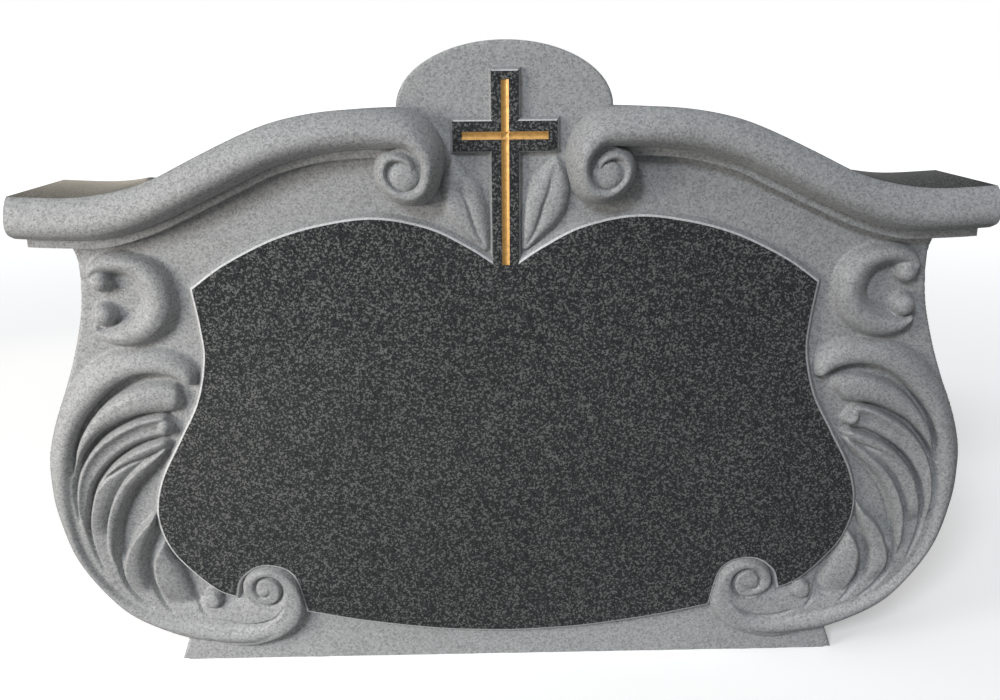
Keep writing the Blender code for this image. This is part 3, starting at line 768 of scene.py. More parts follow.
def mesh_object(name, vertices, faces, material, sharp):
    mesh = bpy.data.meshes.new(name)
    mesh.from_pydata(vertices, [], faces)
    mesh.materials.append(material)
    finish_shading(mesh, sharp)
    return link_object(name, mesh)


def finish_shading(mesh, sharp):
    bm = bmesh.new()
    bm.from_mesh(mesh)
    bmesh.ops.remove_doubles(bm, verts=bm.verts, dist=LEAST_STEP)
    bmesh.ops.recalc_face_normals(bm, faces=bm.faces)
    bm.to_mesh(mesh)
    bm.free()
    smooth_below(mesh, sharp)
    mesh.update()


def smooth_below(mesh, sharp):
    mesh.shade_smooth()
    mesh.set_sharp_from_angle(angle=radians(sharp))


def hand_over(obj):
    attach(obj, "root")
    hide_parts(NODE)


def carved_front(sizes, materials):
    """The front of the slab as three closed skins that meet where the field is plain."""
    cell = sizes.carving_grid * 1.0
    heights = carve_relief(sizes, cell)
    heights = np.hstack([heights[:, :0:-1], right_hand(heights, cell)])
    rows, columns = heights.shape
    middle = (columns - 1) // 2
    x, z = np.meshgrid((np.arange(columns) - middle) * cell, np.arange(rows) * cell)
    rng = np.random.default_rng(DRESSING_SEED)
    for wave, share in DRESSING_WAVES:
        ripple = softened(rng.standard_normal(heights.shape), wave)
        heights = heights + ripple / ripple.std() * (sizes.hand_dressing * share)
    half = half_outline()
    centre_x, centre_z = x[:-1, :-1] + cell / 2, z[:-1, :-1] + cell / 2
    stone = inside_rows(half, centre_x, centre_z) & (centre_z < CROWN_TOP)
    under_panel = grown(mirrored(panel_outline()), sizes.panel_chamfer * UNDER_CHAMFER)
    stone &= ~inside_polygon(under_panel, centre_x, centre_z)

    near = softened(stone.astype(float), EDGE_BLUR)
    edge_zone = np.zeros(heights.shape, bool)
    edge_zone[:-1, :-1] |= (near > NEAR_EDGE) & (near < 1 - NEAR_EDGE)
    edge_zone[1:, 1:] |= edge_zone[:-1, :-1]
    points = np.column_stack([x[edge_zone], z[edge_zone]])
    distance, nearest = nearest_on(mirrored(half), points)
    arris = sizes.arris_radius
    depth_in = np.clip(1 - distance / arris, 0, 1)
    heights[edge_zone] -= arris * (1 - np.sqrt(1 - depth_in**2)) * ARRIS_SHARE

    used = np.zeros(heights.shape, int)
    for i in (0, 1):
        for j in (0, 1):
            used[i : rows - 1 + i, j : columns - 1 + j] += stone
    rim = (used > 0) & (used < 4)
    zone_index = np.full(heights.shape, -1)
    zone_index[edge_zone] = np.arange(len(points))
    snapped = rim & (zone_index >= 0)
    which = zone_index[snapped]
    close = distance[which] < SNAP_REACH * cell
    rows_at, columns_at = np.nonzero(snapped)
    rows_at, columns_at, which = rows_at[close], columns_at[close], which[close]
    x[rows_at, columns_at] = nearest[which, 0]
    z[rows_at, columns_at] = nearest[which, 1]

    y = -sizes.slab_thickness / 2 - heights
    split = int(round(sizes.front_split / cell))
    spans = {
        "carved_front_left": (0, middle - split), "carved_front_middle": (middle - split, middle + split),
        "carved_front_right": (middle + split, columns - 1),
    }
    for name, (first, last) in spans.items():
        part = np.zeros_like(stone)
        part[:, first:last] = stone[:, first:last]
        obj = skin_object(name, x, y, z, part, -sizes.slab_thickness / 2 + ROOTED, materials["carved"])
        hand_over(obj)


def skin_object(name, x, y, z, cells, root, material):
    """The cells of a height grid as a closed skin: front, walls down to root, and a flat back."""
    rows, columns = x.shape
    index = np.arange(x.size).reshape(x.shape)
    r, c = np.nonzero(cells)
    front = np.column_stack([index[r, c], index[r, c + 1], index[r + 1, c + 1], index[r + 1, c]])
    padded = np.pad(cells, 1)
    walls = []
    for step_r, step_c, a, b in (
        (-1, 0, (0, 0), (0, 1)), (1, 0, (1, 1), (1, 0)), (0, -1, (1, 0), (0, 0)), (0, 1, (0, 1), (1, 1)),
    ):
        bare = cells & ~padded[1 + step_r : 1 + step_r + rows - 1, 1 + step_c : 1 + step_c + columns - 1]
        wr, wc = np.nonzero(bare)
        walls.append(np.column_stack([index[wr + a[0], wc + a[1]], index[wr + b[0], wc + b[1]]]))
    walls = np.concatenate(walls)
    total = x.size
    wall_faces = np.column_stack([walls[:, 1], walls[:, 0], walls[:, 0] + total, walls[:, 1] + total])
    coordinates = np.concatenate([
        np.column_stack([x.ravel(), y.ravel(), z.ravel()]),
        np.column_stack([x.ravel(), np.full(total, root), z.ravel()]),
    ])
    faces = np.concatenate([front, wall_faces])
    mesh = bpy.data.meshes.new(name)
    kept, renumbered = np.unique(np.concatenate([faces.ravel(), walls.ravel() + total]), return_inverse=True)
    faces = renumbered[: faces.size].reshape(-1, 4)
    mesh.vertices.add(len(kept))
    mesh.vertices.foreach_set("co", coordinates[kept].ravel())
    mesh.loops.add(faces.size)
    mesh.loops.foreach_set("vertex_index", faces.ravel())
    mesh.polygons.add(len(faces))
    mesh.polygons.foreach_set("loop_start", np.arange(0, faces.size, 4))
    mesh.update(calc_edges=True)
    mesh.validate()
    mesh.materials.append(material)
    bm = bmesh.new()
    bm.from_mesh(mesh)
    open_edges = [edge for edge in bm.edges if edge.is_boundary]
    bmesh.ops.holes_fill(bm, edges=open_edges, sides=0)
    bmesh.ops.recalc_face_normals(bm, faces=bm.faces)
    bm.to_mesh(mesh)
    bm.free()
    smooth_below(mesh, SKIN_SHARP)
    return link_object(name, mesh)


def give(tree, target, value):
    """Links an input to a socket, or sets it to a plain value."""
    if isinstance(value, bpy.types.NodeSocket):
        tree.links.new(value, target)
    else:
        target.default_value = value


def node_adder(tree):
    """A function that adds a node to a tree. It takes the node's settings and inputs by name, and further
    inputs as pairs of a name or number and a value."""

    def add(kind, *pairs, **named):
        node = tree.nodes.new(kind)
        for key, value in (*named.items(), *pairs):
            if isinstance(key, str) and key not in node.inputs:
                setattr(node, key, value)
            else:
                give(tree, node.inputs[key], value)
        return node

    return add


def sweep_tree(name, sections):
    """Geometry nodes that sweep a section along two guide lines, held as one mesh's points: first the
    outer line, then the inner one. Each outer point also carries crest, base, root, blend and drop."""
    tree = bpy.data.node_groups.new(name, "GeometryNodeTree")
    for label, kind in (
        ("Guides", "NodeSocketGeometry"), ("Stations", "NodeSocketInt"), ("Section points", "NodeSocketInt"),
        ("Face depth", "NodeSocketFloat"), ("Stone", "NodeSocketMaterial"),
    ):
        tree.interface.new_socket(label, in_out="INPUT", socket_type=kind)
    tree.interface.new_socket("Run", in_out="OUTPUT", socket_type="NodeSocketGeometry")
    add = node_adder(tree)

    def math(operation, a, b):
        return add("ShaderNodeMath", (0, a), (1, b), operation=operation).outputs[0]

    def mixed(factor, a, b):
        return math("ADD", a, math("MULTIPLY", math("SUBTRACT", b, a), factor))

    def same(a, b):
        return add("ShaderNodeMath", (0, a), (1, b), (2, 0.5), operation="COMPARE").outputs[0]

    given = add("NodeGroupInput").outputs
    index = add("GeometryNodeInputIndex").outputs[0]

    def marked(geometry, label):
        return add(
            "GeometryNodeStoreNamedAttribute", ("Geometry", geometry), ("Name", label), ("Value", index),
            data_type="INT", domain="POINT",
        ).outputs[0]

    def read(label, kind="FLOAT"):
        node = add("GeometryNodeInputNamedAttribute", ("Name", label), data_type=kind)
        return node.outputs["Attribute"]

    def at_guide(value, kind, where):
        return add(
            "GeometryNodeSampleIndex", ("Geometry", given["Guides"]), ("Value", value), ("Index", where),
            data_type=kind, domain="POINT",
        ).outputs[0]

    line = add("GeometryNodeMeshLine", mode="OFFSET", Count=given["Stations"], Offset=(0.01, 0, 0))
    path = add("GeometryNodeMeshToCurve", (0, marked(line.outputs[0], "station")))
    count = given["Section points"]
    ring = add("GeometryNodeCurvePrimitiveCircle", mode="RADIUS", Resolution=count, Radius=0.01)
    swept = add(
        "GeometryNodeCurveToMesh", ("Curve", path.outputs[0]),
        ("Profile Curve", marked(ring.outputs[0], "place")), ("Fill Caps", True),
    )
    station, place = read("station", "INT"), read("place", "INT")
    position = add("GeometryNodeInputPosition").outputs[0]
    lines = []
    for where in (station, math("ADD", station, given["Stations"])):
        lines.append(add("ShaderNodeSeparateXYZ", (0, at_guide(position, "FLOAT_VECTOR", where))).outputs)
    last = math("SUBTRACT", count, 1)
    stretch = math("DIVIDE", math("SUBTRACT", place, 1), math("SUBTRACT", last, 2))
    across = math("MAXIMUM", math("MINIMUM", stretch, 1), 0)
    rises = []
    for section in sections:
        curve = add("ShaderNodeFloatCurve", Value=across)
        shape = curve.mapping.curves[0]
        for number, (at, share) in enumerate(section):
            if number < 2:
                shape.points[number].location = (at, share)
            else:
                shape.points.new(at, share)
        for point in shape.points:
            point.handle_type = "AUTO"
        curve.mapping.update()
        rises.append(curve.outputs[0])
    crest, base, root, blend, drop = (at_guide(read(label), "FLOAT", station) for label in MARKS)
    rise = mixed(mixed(blend, rises[0], rises[1]), base, crest)
    surface = math("SUBTRACT", given["Face depth"], rise)
    behind_top = same(place, 0)
    buried = math("ADD", behind_top, same(place, last))
    level = mixed(across, lines[0][2], lines[1][2])
    placed = add(
        "ShaderNodeCombineXYZ", (0, mixed(across, lines[0][0], lines[1][0])),
        (1, mixed(buried, surface, root)), (2, math("SUBTRACT", level, math("MULTIPLY", behind_top, drop))),
    )
    moved = add("GeometryNodeSetPosition", Geometry=swept.outputs[0], Position=placed.outputs[0])
    realised = add("GeometryNodeRealizeInstances", (0, moved.outputs[0]))
    finished = add("GeometryNodeSetMaterial", Geometry=realised.outputs[0], Material=given["Stone"])
    add("NodeGroupOutput", (0, finished.outputs[0]))
    return tree


def swept_run(name, tree, guides, marks, section_points, face_depth, material, sharp):
    """One run of the sweep tree, as a plain mesh object. marks are the values its points carry."""
    stations = len(guides[0])
    lines = bpy.data.meshes.new(name + "_guides")
    lines.from_pydata([(x, 0.0, z) for x, z in np.vstack(guides)], [], [])
    for label in MARKS:
        data = lines.attributes.new(label, "FLOAT", "POINT").data
        spread = np.broadcast_to(np.asarray(marks.get(label, 0.0), float), stations)
        data.foreach_set("value", np.concatenate([spread, spread]))
    obj = link_object(name, lines)
    modifier = obj.modifiers.new("Sweep", "NODES")
    modifier.node_group = tree
    named = {item.name: item.identifier for item in tree.interface.items_tree if item.in_out == "INPUT"}
    for label, value in (
        ("Stations", stations), ("Section points", section_points), ("Face depth", face_depth),
        ("Stone", material),
    ):
        modifier[named[label]] = value
    bpy.context.view_layer.update()
    evaluated = obj.evaluated_get(bpy.context.evaluated_depsgraph_get())
    mesh = bpy.data.meshes.new_from_object(evaluated)
    mesh.name = name
    obj.modifiers.remove(modifier)
    obj.data = mesh
    bpy.data.meshes.remove(lines)
    for label in ("station", "place"):
        if label in mesh.attributes:
            mesh.attributes.remove(mesh.attributes[label])
    finish_shading(mesh, sharp)
    return obj


def eased(values, sigma):
    """A run of values blurred along its length, with its ends kept."""
    reach, weights = bell(sigma)
    padded = np.concatenate([
        2 * values[0] - values[reach:0:-1], values, 2 * values[-1] - values[-2 : -2 - reach : -1]
    ])
    return np.convolve(padded, weights, mode="valid")


def moulding_run(sizes, side):
    """Guides of one moulding, from its cut end along the cornice and round the volute to its eye."""
    joined = STRAIGHT_STATIONS - 2
    angle = (len(VOLUTE_OUTER) - 1) * pi / 4 * np.linspace(0, 1, VOLUTE_STATIONS)
    direction = np.column_stack([-np.sin(angle), np.cos(angle)])
    lines = []
    for straight, radii in ((CORNICE_TOP, VOLUTE_OUTER), (CORNICE_UNDER, VOLUTE_INNER)):
        radius = smooth_values(radii, VOLUTE_STATIONS)
        volute = np.array(VOLUTE_CENTRE) + direction * radius[:, None]
        lines.append(np.vstack([even_run(straight, STRAIGHT_STATIONS)[:joined], volute]))
    outer, inner = lines
    count = len(outer)
    on_volute = np.arange(count) >= joined
    along = np.arange(count) / (joined - 1)
    blend = np.clip((along - SECTION_TURNS_AT) / SECTION_TURN, 0, 1)
    blend = blend**2 * (3 - 2 * blend)
    crest = np.full(count, sizes.cornice_projection)
    crest[joined:] = smooth_values(VOLUTE_CREST, VOLUTE_STATIONS) * sizes.cornice_projection / VOLUTE_CREST[0]
    base = sizes.fillet_projection + (VOLUTE_BASE - sizes.fillet_projection) * blend
    root = np.where(on_volute, -sizes.slab_thickness / 2 + ROOTED, MOULDING_BACK)
    columns = [eased(values, RUN_BLUR) for values in (*outer.T, *inner.T, crest, base)]
    near_middle = np.clip((TOP_SEEN_FROM - columns[0]) / TOP_FALLS_OVER, 0, 1) * ~on_volute
    drop = near_middle * np.maximum(CAMERA_HEIGHT - columns[1], 0) * TOP_FALL
    guides = [np.column_stack([columns[k] * side, columns[k + 1]]) for k in (0, 2)]
    return guides, {"crest": columns[4], "base": columns[5], "root": root, "blend": blend, "drop": drop}


def build_mouldings(sizes, materials):
    tree = sweep_tree("moulding_sweep", (MOULDING_SECTION, VOLUTE_SECTION))
    face = -sizes.slab_thickness / 2
    for side, word in SIDES:
        guides, marks = moulding_run(sizes, side)
        obj = swept_run(
            f"moulding_{word}", tree, guides, marks, MOULDING_POINTS, face, materials["carved"], SWEPT_SHARP
        )
        obj.data.materials.append(materials["polished"])
        polish_top(obj.data, face)
        hand_over(obj)


def polish_top(mesh, face):
    """The flat top behind the moulding's arris is polished."""
    for polygon in mesh.polygons:
        behind = polygon.center.y > face + POLISHED_BEHIND
        polygon.material_index = int(behind and polygon.normal.z > POLISHED_SLOPE)


def build_volute_centres(sizes, materials):
    """The ground between each volute's turns and the round eye in its middle."""
    face = -sizes.slab_thickness / 2
    radii = smooth_values(VOLUTE_DRUM, CENTRE_SEGMENTS + 1)[:CENTRE_SEGMENTS]
    angles = np.linspace(0, 2 * pi, CENTRE_SEGMENTS, endpoint=False)
    for side, word in SIDES:

        def point(angle, reach, y):
            return side * (VOLUTE_CENTRE[0] - sin(angle) * reach), y, VOLUTE_CENTRE[1] + cos(angle) * reach

        vertices, faces = [], []
        for ring in range(CENTRE_RINGS):
            for angle, radius in zip(angles, radii):
                reach = radius * (1 - ring / CENTRE_RINGS)
                eye = max(1 - (reach / VOLUTE_EYE) ** EYE_POWERS[0], 0) ** EYE_POWERS[1]
                rise = sizes.volute_ground + (sizes.volute_eye_projection - sizes.volute_ground) * eye
                vertices.append(point(angle, reach, face - rise))
        first_back = len(vertices)
        vertices += [point(angle, radius, face + ROOTED) for angle, radius in zip(angles, radii)]
        tip = len(vertices)
        vertices.append(point(0, 0, face - sizes.volute_eye_projection))
        inner = (CENTRE_RINGS - 1) * CENTRE_SEGMENTS
        for k in range(CENTRE_SEGMENTS):
            following = (k + 1) % CENTRE_SEGMENTS
            for ring in range(CENTRE_RINGS - 1):
                a, b = ring * CENTRE_SEGMENTS + k, ring * CENTRE_SEGMENTS + following
                faces.append((a, b, b + CENTRE_SEGMENTS, a + CENTRE_SEGMENTS))
            faces.append((inner + k, inner + following, tip))
            faces.append((k, first_back + k, first_back + following, following))
        faces.append(tuple(range(first_back, tip)))
        obj = mesh_object(f"volute_centre_{word}", vertices, faces, materials["carved"], VOLUTE_SHARP)
        hand_over(obj)


def build_fillets(sizes, materials):
    """The square fillet under each moulding, a little shorter than it at its end."""
    tree = sweep_tree("fillet_sweep", (FLAT_SECTION, FLAT_SECTION))
    under = even_run(CORNICE_UNDER, FILLET_STATIONS)
    end = CORNICE_SPAN / 2 - sizes.fillet_setback
    marks = {"crest": sizes.fillet_projection, "root": FILLET_BACK}
    for side, word in SIDES:
        line = under.copy()
        line[:, 0] = np.minimum(line[:, 0], end) * side
        line = line[np.concatenate([[True], np.hypot(*np.diff(line, axis=0).T) > LEAST_STEP])]
        guides = line + (0, FOLD_IN), line - (0, sizes.fillet_height)
        obj = swept_run(
            f"fillet_{word}", tree, guides, marks, FILLET_POINTS, -sizes.slab_thickness / 2,
            materials["carved"], SWEPT_SHARP,
        )
        hand_over(obj)


def build_slab(sizes, materials):
    """The body of the stone behind its carved skin, with sawn sides and a bevelled back edge."""
    outline = mirrored(half_outline())
    inset = grown(outline, -BACK_BEVEL)
    inset[:, 1] = np.maximum(inset[:, 1], 0)
    front = -sizes.slab_thickness / 2 + ROOTED
    rings = [(outline, front), (outline, CAD_BACK - BACK_BEVEL), (inset, CAD_BACK)]
    vertices = [(x, y, z) for ring, y in rings for x, z in ring]
    count = len(outline)
    faces = []
    for ring in (0, 1):
        for k in range(count):
            a, b = ring * count + k, ring * count + (k + 1) % count
            faces.append((a, b, b + count, a + count))
    faces.append(tuple(range(count)))
    faces.append(tuple(range(2 * count, 3 * count)))
    hand_over(mesh_object("slab_body", vertices, faces, materials["sawn"], SLAB_SHARP))


def build_panel(sizes, materials):
    """The raised heart shaped panel and the cross that rises from it, with one polished face."""
    face = -sizes.slab_thickness / 2
    front = face - sizes.panel_projection
    cross = cross_outline(sizes)[::-1]
    half = np.vstack([cross, panel_outline()])
    widths = np.where(np.arange(len(half)) < len(cross), sizes.cross_chamfer, sizes.panel_chamfer)
    outline = mirrored(half)
    widths = np.concatenate([widths, widths[-2::-1]])
    base = grown(outline, widths)
    margin = grown(outline, widths * sizes.panel_margin / sizes.panel_chamfer)
    bm = bmesh.new()

    def ring_at(ring, y):
        return [bm.verts.new((x, y, z)) for x, z in ring]

    def pairs(count):
        return [(k, (k + 1) % count) for k in range(count)]

    rows = [
        ring_at(outline, front), ring_at(margin, front + sizes.panel_margin * LIP_FALL),
        ring_at(base, face + FACE_GAP), ring_at(base, face + ROOTED),
    ]
    for row, following in zip(rows, rows[1:]):
        for k, n in pairs(len(outline)):
            side = bm.faces.new((row[k], row[n], following[n], following[k]))
            side.normal_update()
            # On the cross, lips that face upwards get the paler honed granite as a painted highlight, and the
            # rest get the dark polished granite as painted shade.
            on_cross = min(widths[k], widths[n]) < sizes.panel_chamfer
            lip = 1 if on_cross and side.normal.z < LIT_LIP_FACES_UP else 2
            side.material_index = lip if row is rows[0] else 0
    bm.faces.new(rows[-1])
    channel = channel_outline(sizes)
    rim, sunk = ring_at(channel, front), ring_at(channel, front + sizes.channel_depth)
    for k, n in pairs(len(rim)):
        bm.faces.new((rim[k], rim[n], sunk[n], sunk[k])).material_index = 1
    bm.faces.new(sunk).material_index = 1
    loops = [bm.edges.get((ring[k], ring[n])) for ring in (rows[0], rim) for k, n in pairs(len(ring))]
    for item in bmesh.ops.triangle_fill(bm, use_beauty=True, edges=loops)["geom"]:
        if isinstance(item, bmesh.types.BMFace):
            item.material_index = 1
    mesh = bpy.data.meshes.new("panel_and_cross")
    bm.to_mesh(mesh)
    bm.free()
    for finish in ("carved", "polished", "honed"):
        mesh.materials.append(materials[finish])
    finish_shading(mesh, PANEL_SHARP)
    hand_over(link_object("panel_and_cross", mesh))


def channel_lines(sizes):
    """The ends of the shaft's line and of the arms' line, and half the lines' width."""
    top = CROWN_TOP - sizes.cross_below_crown
    middle = top - sizes.arm_drop + sizes.arm_height / 2
    reach = sizes.arm_span / 2 - sizes.channel_margin
    bottom = top - sizes.shaft_length + CHANNEL_FOOT_MARGINS * sizes.channel_margin
    return bottom, top - sizes.channel_margin, middle, reach, sizes.channel_width / 2


def channel_outline(sizes):
    bottom, top, middle, reach, half = channel_lines(sizes)
    right = np.array([
        (half, top), (half, middle + half), (reach, middle + half), (reach, middle - half),
        (half, middle - half), (half, bottom),
    ])
    return np.vstack([right, right[::-1] * (-1, 1)])


def build_gilding(sizes, materials):
    """The hollow gilded lines down the shaft and along the arms."""
    tree = sweep_tree("gilded_line_sweep", (GUTTER_SECTION, GUTTER_SECTION))
    bottom, top, middle, reach, half = channel_lines(sizes)
    gap = GILDING_GAP
    side, end = half - gap, reach - gap
    front = -sizes.slab_thickness / 2 - sizes.panel_projection
    marks = {
        "crest": GILDING_EDGE, "base": GILDING_BED - sizes.channel_depth,
        "root": front + sizes.channel_depth - gap,
    }
    runs = {
        "gilded_shaft": ((-side, top - gap), (side, top - gap), (0, bottom - top + 2 * gap)),
        "gilded_arms": ((-end, middle + side), (-end, middle - side), (2 * end, 0)),
    }
    steps = np.linspace(0, 1, GILDING_STATIONS)[:, None]
    for name, (outer, inner, run) in runs.items():
        guides = [np.array(line) + steps * np.array(run) for line in (outer, inner)]
        obj = swept_run(name, tree, guides, marks, GILDING_POINTS, front, materials["gold"], GILDING_SHARP)
        hand_over(obj)


def new_material(name):
    """A material, the function that adds its nodes and the one that gives its shader its inputs."""
    material = bpy.data.materials.new(name)
    material.use_nodes = True
    tree = material.node_tree

    def shade(**inputs):
        for key, value in inputs.items():
            give(tree, tree.nodes["Principled BSDF"].inputs[key.replace("_", " ")], value)

    return material, node_adder(tree), shade


def ramp(add, factor, stops):
    node = add("ShaderNodeValToRGB", Fac=factor)
    elements = node.color_ramp.elements
    while len(elements) < len(stops):
        elements.new(0.5)
    for element, (place, colour) in zip(elements, stops):
        element.position = place
        element.color = (*colour, 1)
    return node.outputs["Color"]


def granite_material(name, tones, grain, shares, roughness, tooling, cloud, foot):
    """Granite of three minerals, dark, middle and light, in irregular grains."""
    _, add, shade = new_material(name)
    dark, mid, light = tones
    first, second = shares
    soft = GRAIN_SOFTNESS
    place = add("ShaderNodeTexCoord").outputs["Object"]
    warp = add("ShaderNodeTexNoise", Vector=place, Scale=0.9 / grain, Detail=2.0).outputs["Color"]
    centred = add("ShaderNodeVectorMath", (0, warp), (1, (0.5, 0.5, 0.5)), operation="SUBTRACT")
    shift = add("ShaderNodeVectorMath", (0, centred.outputs[0]), operation="SCALE", Scale=1.6 * grain)
    moved = add("ShaderNodeVectorMath", (0, place), (1, shift.outputs[0]), operation="ADD").outputs[0]
    cells = add("ShaderNodeTexVoronoi", Vector=moved, Scale=1 / grain).outputs["Color"]
    split = add("ShaderNodeSeparateColor", Color=cells).outputs[0]
    tone = ramp(add, split, (
        (0.0, dark), (max(first - soft, 0.01), dark), (first + soft, mid), (second - soft, mid),
        (min(second + soft, 0.99), light), (1.0, light),
    ))
    small = add("ShaderNodeTexVoronoi", Vector=moved, Scale=FINE_GRAINS / grain).outputs["Color"]
    small_split = add("ShaderNodeSeparateColor", Color=small).outputs[1]
    fine = ramp(add, small_split, ((0.0, dark), (0.22, mid), (0.80, mid), (1.0, light)))
    mixed = add("ShaderNodeMix", (6, tone), (7, fine), data_type="RGBA", Factor=FINE_SHARE).outputs[2]
    broad = add("ShaderNodeTexNoise", Vector=place, Scale=5.0, Detail=4.0, Roughness=0.6).outputs[0]
    cloudy = ramp(add, broad, ((0.3, (1 - cloud,) * 3), (0.7, (1 + cloud,) * 3)))
    tinted = add(
        "ShaderNodeMix", (6, mixed), (7, cloudy), data_type="RGBA", blend_type="MULTIPLY", Factor=1.0
    ).outputs[2]
    # Paler towards the foot: painted light that stands in for the light the floor throws up.
    height = add("ShaderNodeSeparateXYZ", Vector=place).outputs["Z"]
    span = zip(("From Min", "From Max", "To Min", "To Max"), (*FOOT_LIGHT_SPAN, foot, 1.0))
    pale = add("ShaderNodeMapRange", *span, Value=height).outputs[0]
    lit_at_foot = add("ShaderNodeVectorMath", (0, tinted), operation="SCALE", Scale=pale).outputs[0]
    gloss = ramp(add, split, ((0.0, (roughness * 1.15,) * 3), (1.0, (roughness * 0.9,) * 3)))
    pits = add("ShaderNodeTexNoise", Vector=place, Scale=0.55 / grain, Detail=5.0, Roughness=0.7).outputs[0]
    relief = add("ShaderNodeBump", Strength=tooling, Distance=0.0012, Height=pits).outputs[0]
    shade(Base_Color=lit_at_foot, Roughness=gloss, Normal=relief)


def gold_material(name, colour):
    _, add, shade = new_material(name)
    place = add("ShaderNodeTexCoord").outputs["Object"]
    leaf = add("ShaderNodeTexNoise", Vector=place, Scale=160.0, Detail=4.0, Roughness=0.65).outputs[0]
    tone = ramp(add, leaf, ((0.32, scaled(colour, WORN_GOLD)), (0.55, colour), (1.0, colour)))
    sheen = ramp(add, leaf, ((0.3, (0.50,) * 3), (0.7, (0.36,) * 3)))
    relief = add("ShaderNodeBump", Strength=0.25, Distance=0.0006, Height=leaf).outputs[0]
    shade(Base_Color=tone, Metallic=0.35, Roughness=sheen, Normal=relief)


def floor_material(name, colour):
    """A pale floor that throws only a part of its light back at the stone. To the camera it glows, more the
    farther out it lies: painted light that whitens the far floor.
    """
    material, add, shade = new_material(name)
    seen = add("ShaderNodeLightPath").outputs["Is Camera Ray"]
    bounced = (*scaled(colour, FLOOR_BOUNCE), 1)
    tone = add("ShaderNodeMix", (6, bounced), (7, (*colour, 1)), data_type="RGBA", Factor=seen).outputs[2]
    place = add("ShaderNodeTexCoord").outputs["Object"]
    away = add("ShaderNodeVectorMath", (0, place), operation="LENGTH").outputs["Value"]
    camera_glow = add("ShaderNodeMapRange", *FLOOR_GLOW_SPAN, Value=away).outputs[0]
    shown = add("ShaderNodeMath", (0, camera_glow), (1, seen), operation="MULTIPLY").outputs[0]
    shade(Base_Color=tone, Roughness=0.9, Emission_Color=(1, 1, 1, 1), Emission_Strength=shown)
    return material


def scaled(colour, share):
    return tuple(min(part * share, 1) for part in colour)


def finishes(colours):
    """The stone's finishes, made once."""
    names = {**{key: f"{key} granite" for key in FINISHES}, "gold": "gold leaf"}
    if names["carved"] not in bpy.data.materials:
        grey = colours.carved_stone
        tones = {key: [scaled(grey, share) for share in shares] for key, shares in GREY_TONES.items()}
        dark = tuple(colours.polished_dark)
        tones["polished"] = dark, scaled(dark, POLISHED_MIDDLE), tuple(colours.polished_fleck)
        for key, values in FINISHES.items():
            granite_material(names[key], tones[key], *values)
        gold_material(names["gold"], tuple(colours.gold))
    return {key: bpy.data.materials[name] for key, name in names.items()}


def length(name, description, default):
    return bpy.props.FloatProperty(
        name=name, description=description, default=default, min=0.0, precision=4, unit="LENGTH",
        subtype="DISTANCE",
    )


def colour(name, description, default):
    return bpy.props.FloatVectorProperty(
        name=name, description=description, default=default, min=0.0, max=1.0, size=3, subtype="COLOR"
    )


class HeadstoneSizes(bpy.types.PropertyGroup):
    slab_thickness: length("Slab thickness", "Front to back of the plain slab", 0.175)
    cornice_projection: length("Cornice projection", "How far the moulding stands off the slab", 0.065)
    fillet_projection: length("Fillet projection", "How far the fillet stands off the slab", 0.022)
    fillet_height: length("Fillet height", "Height of the fillet below the moulding", 0.012)
    fillet_setback: length("Fillet setback", "How much shorter the fillet is at its end", 0.012)
    volute_eye_projection: length("Volute eye projection", "How far the volute's eye stands out", 0.050)
    volute_ground: length("Volute ground", "Height of the ground between the volute's turns", 0.042)
    scroll_relief: length("Scroll relief", "Height of the leaf scrolls", 0.026)
    curl_relief: length("Curl relief", "Height of the curls over the leaf scrolls", 0.028)
    spandrel_relief: length("Spandrel relief", "Height of the leaves beside the shaft", 0.014)
    panel_projection: length("Panel projection", "How far the polished panel stands out", 0.013)
    panel_chamfer: length("Panel chamfer", "Width of the slope round the panel", 0.010)
    panel_margin: length("Panel margin", "Width of the unpolished lip inside the panel's slope", 0.0032)
    cross_chamfer: length("Cross chamfer", "Width of the slope round the cross", 0.006)
    cross_below_crown: length("Cross below crown", "From the crown's top down to the cross", 0.045)
    shaft_width: length("Shaft width", "Width of the cross's shaft", 0.038)
    shaft_length: length("Shaft length", "Length of the cross's shaft", 0.330)
    arm_span: length("Arm span", "Width across the cross's arms", 0.156)
    arm_height: length("Arm height", "Height of the cross's arms", 0.043)
    arm_drop: length("Arm drop", "From the top of the cross to the underside of its arms", 0.116)
    channel_width: length("Channel width", "Width of the gilded lines", 0.012)
    channel_depth: length("Channel depth", "Depth of the gilded lines", 0.0035)
    channel_margin: length("Channel margin", "From the cross's ends to the ends of the gilded lines", 0.012)
    arris_radius: length("Arris radius", "Rounding of the front edge of the slab", 0.005)
    hand_dressing: length("Hand dressing", "Unevenness left by the chisel", 0.00012)
    carving_grid: length("Carving grid", "Size of the faces of the carved front", 0.0017)
    front_split: length("Front split", "Where the carved front is divided, from the middle", 0.340)


class HeadstoneColours(bpy.types.PropertyGroup):
    carved_stone: colour("Carved stone", "The matt grey of the carved granite", (0.305, 0.309, 0.313))
    polished_dark: colour("Polished stone", "The ground of the polished granite", (0.012, 0.013, 0.014))
    polished_fleck: colour("Polished fleck", "The flecks in the polished granite", (0.190, 0.192, 0.186))
    gold: colour("Gold", "The gilded lines", (0.665, 0.372, 0.112))
    floor: colour("Floor", "The studio floor", (0.950, 0.950, 0.950))


def settings(context):
    return context.scene.headstone_sizes, finishes(context.scene.headstone_colours)


class BuildStep:
    """What the operators that make pieces share: each runs its builders."""

    def execute(self, context):
        for build in self.builders:
            build(*settings(context))
        return {"FINISHED"}


class HEADSTONE_OT_slab(BuildStep, bpy.types.Operator):
    """Make the slab behind the carving"""

    bl_idname = "headstone.slab"
    bl_label = "Slab"
    builders = (build_slab,)


class HEADSTONE_OT_carved_front(BuildStep, bpy.types.Operator):
    """Carve the front with its leaf scrolls, curls and spandrel leaves"""

    bl_idname = "headstone.carved_front"
    bl_label = "Carved front"
    builders = (carved_front,)


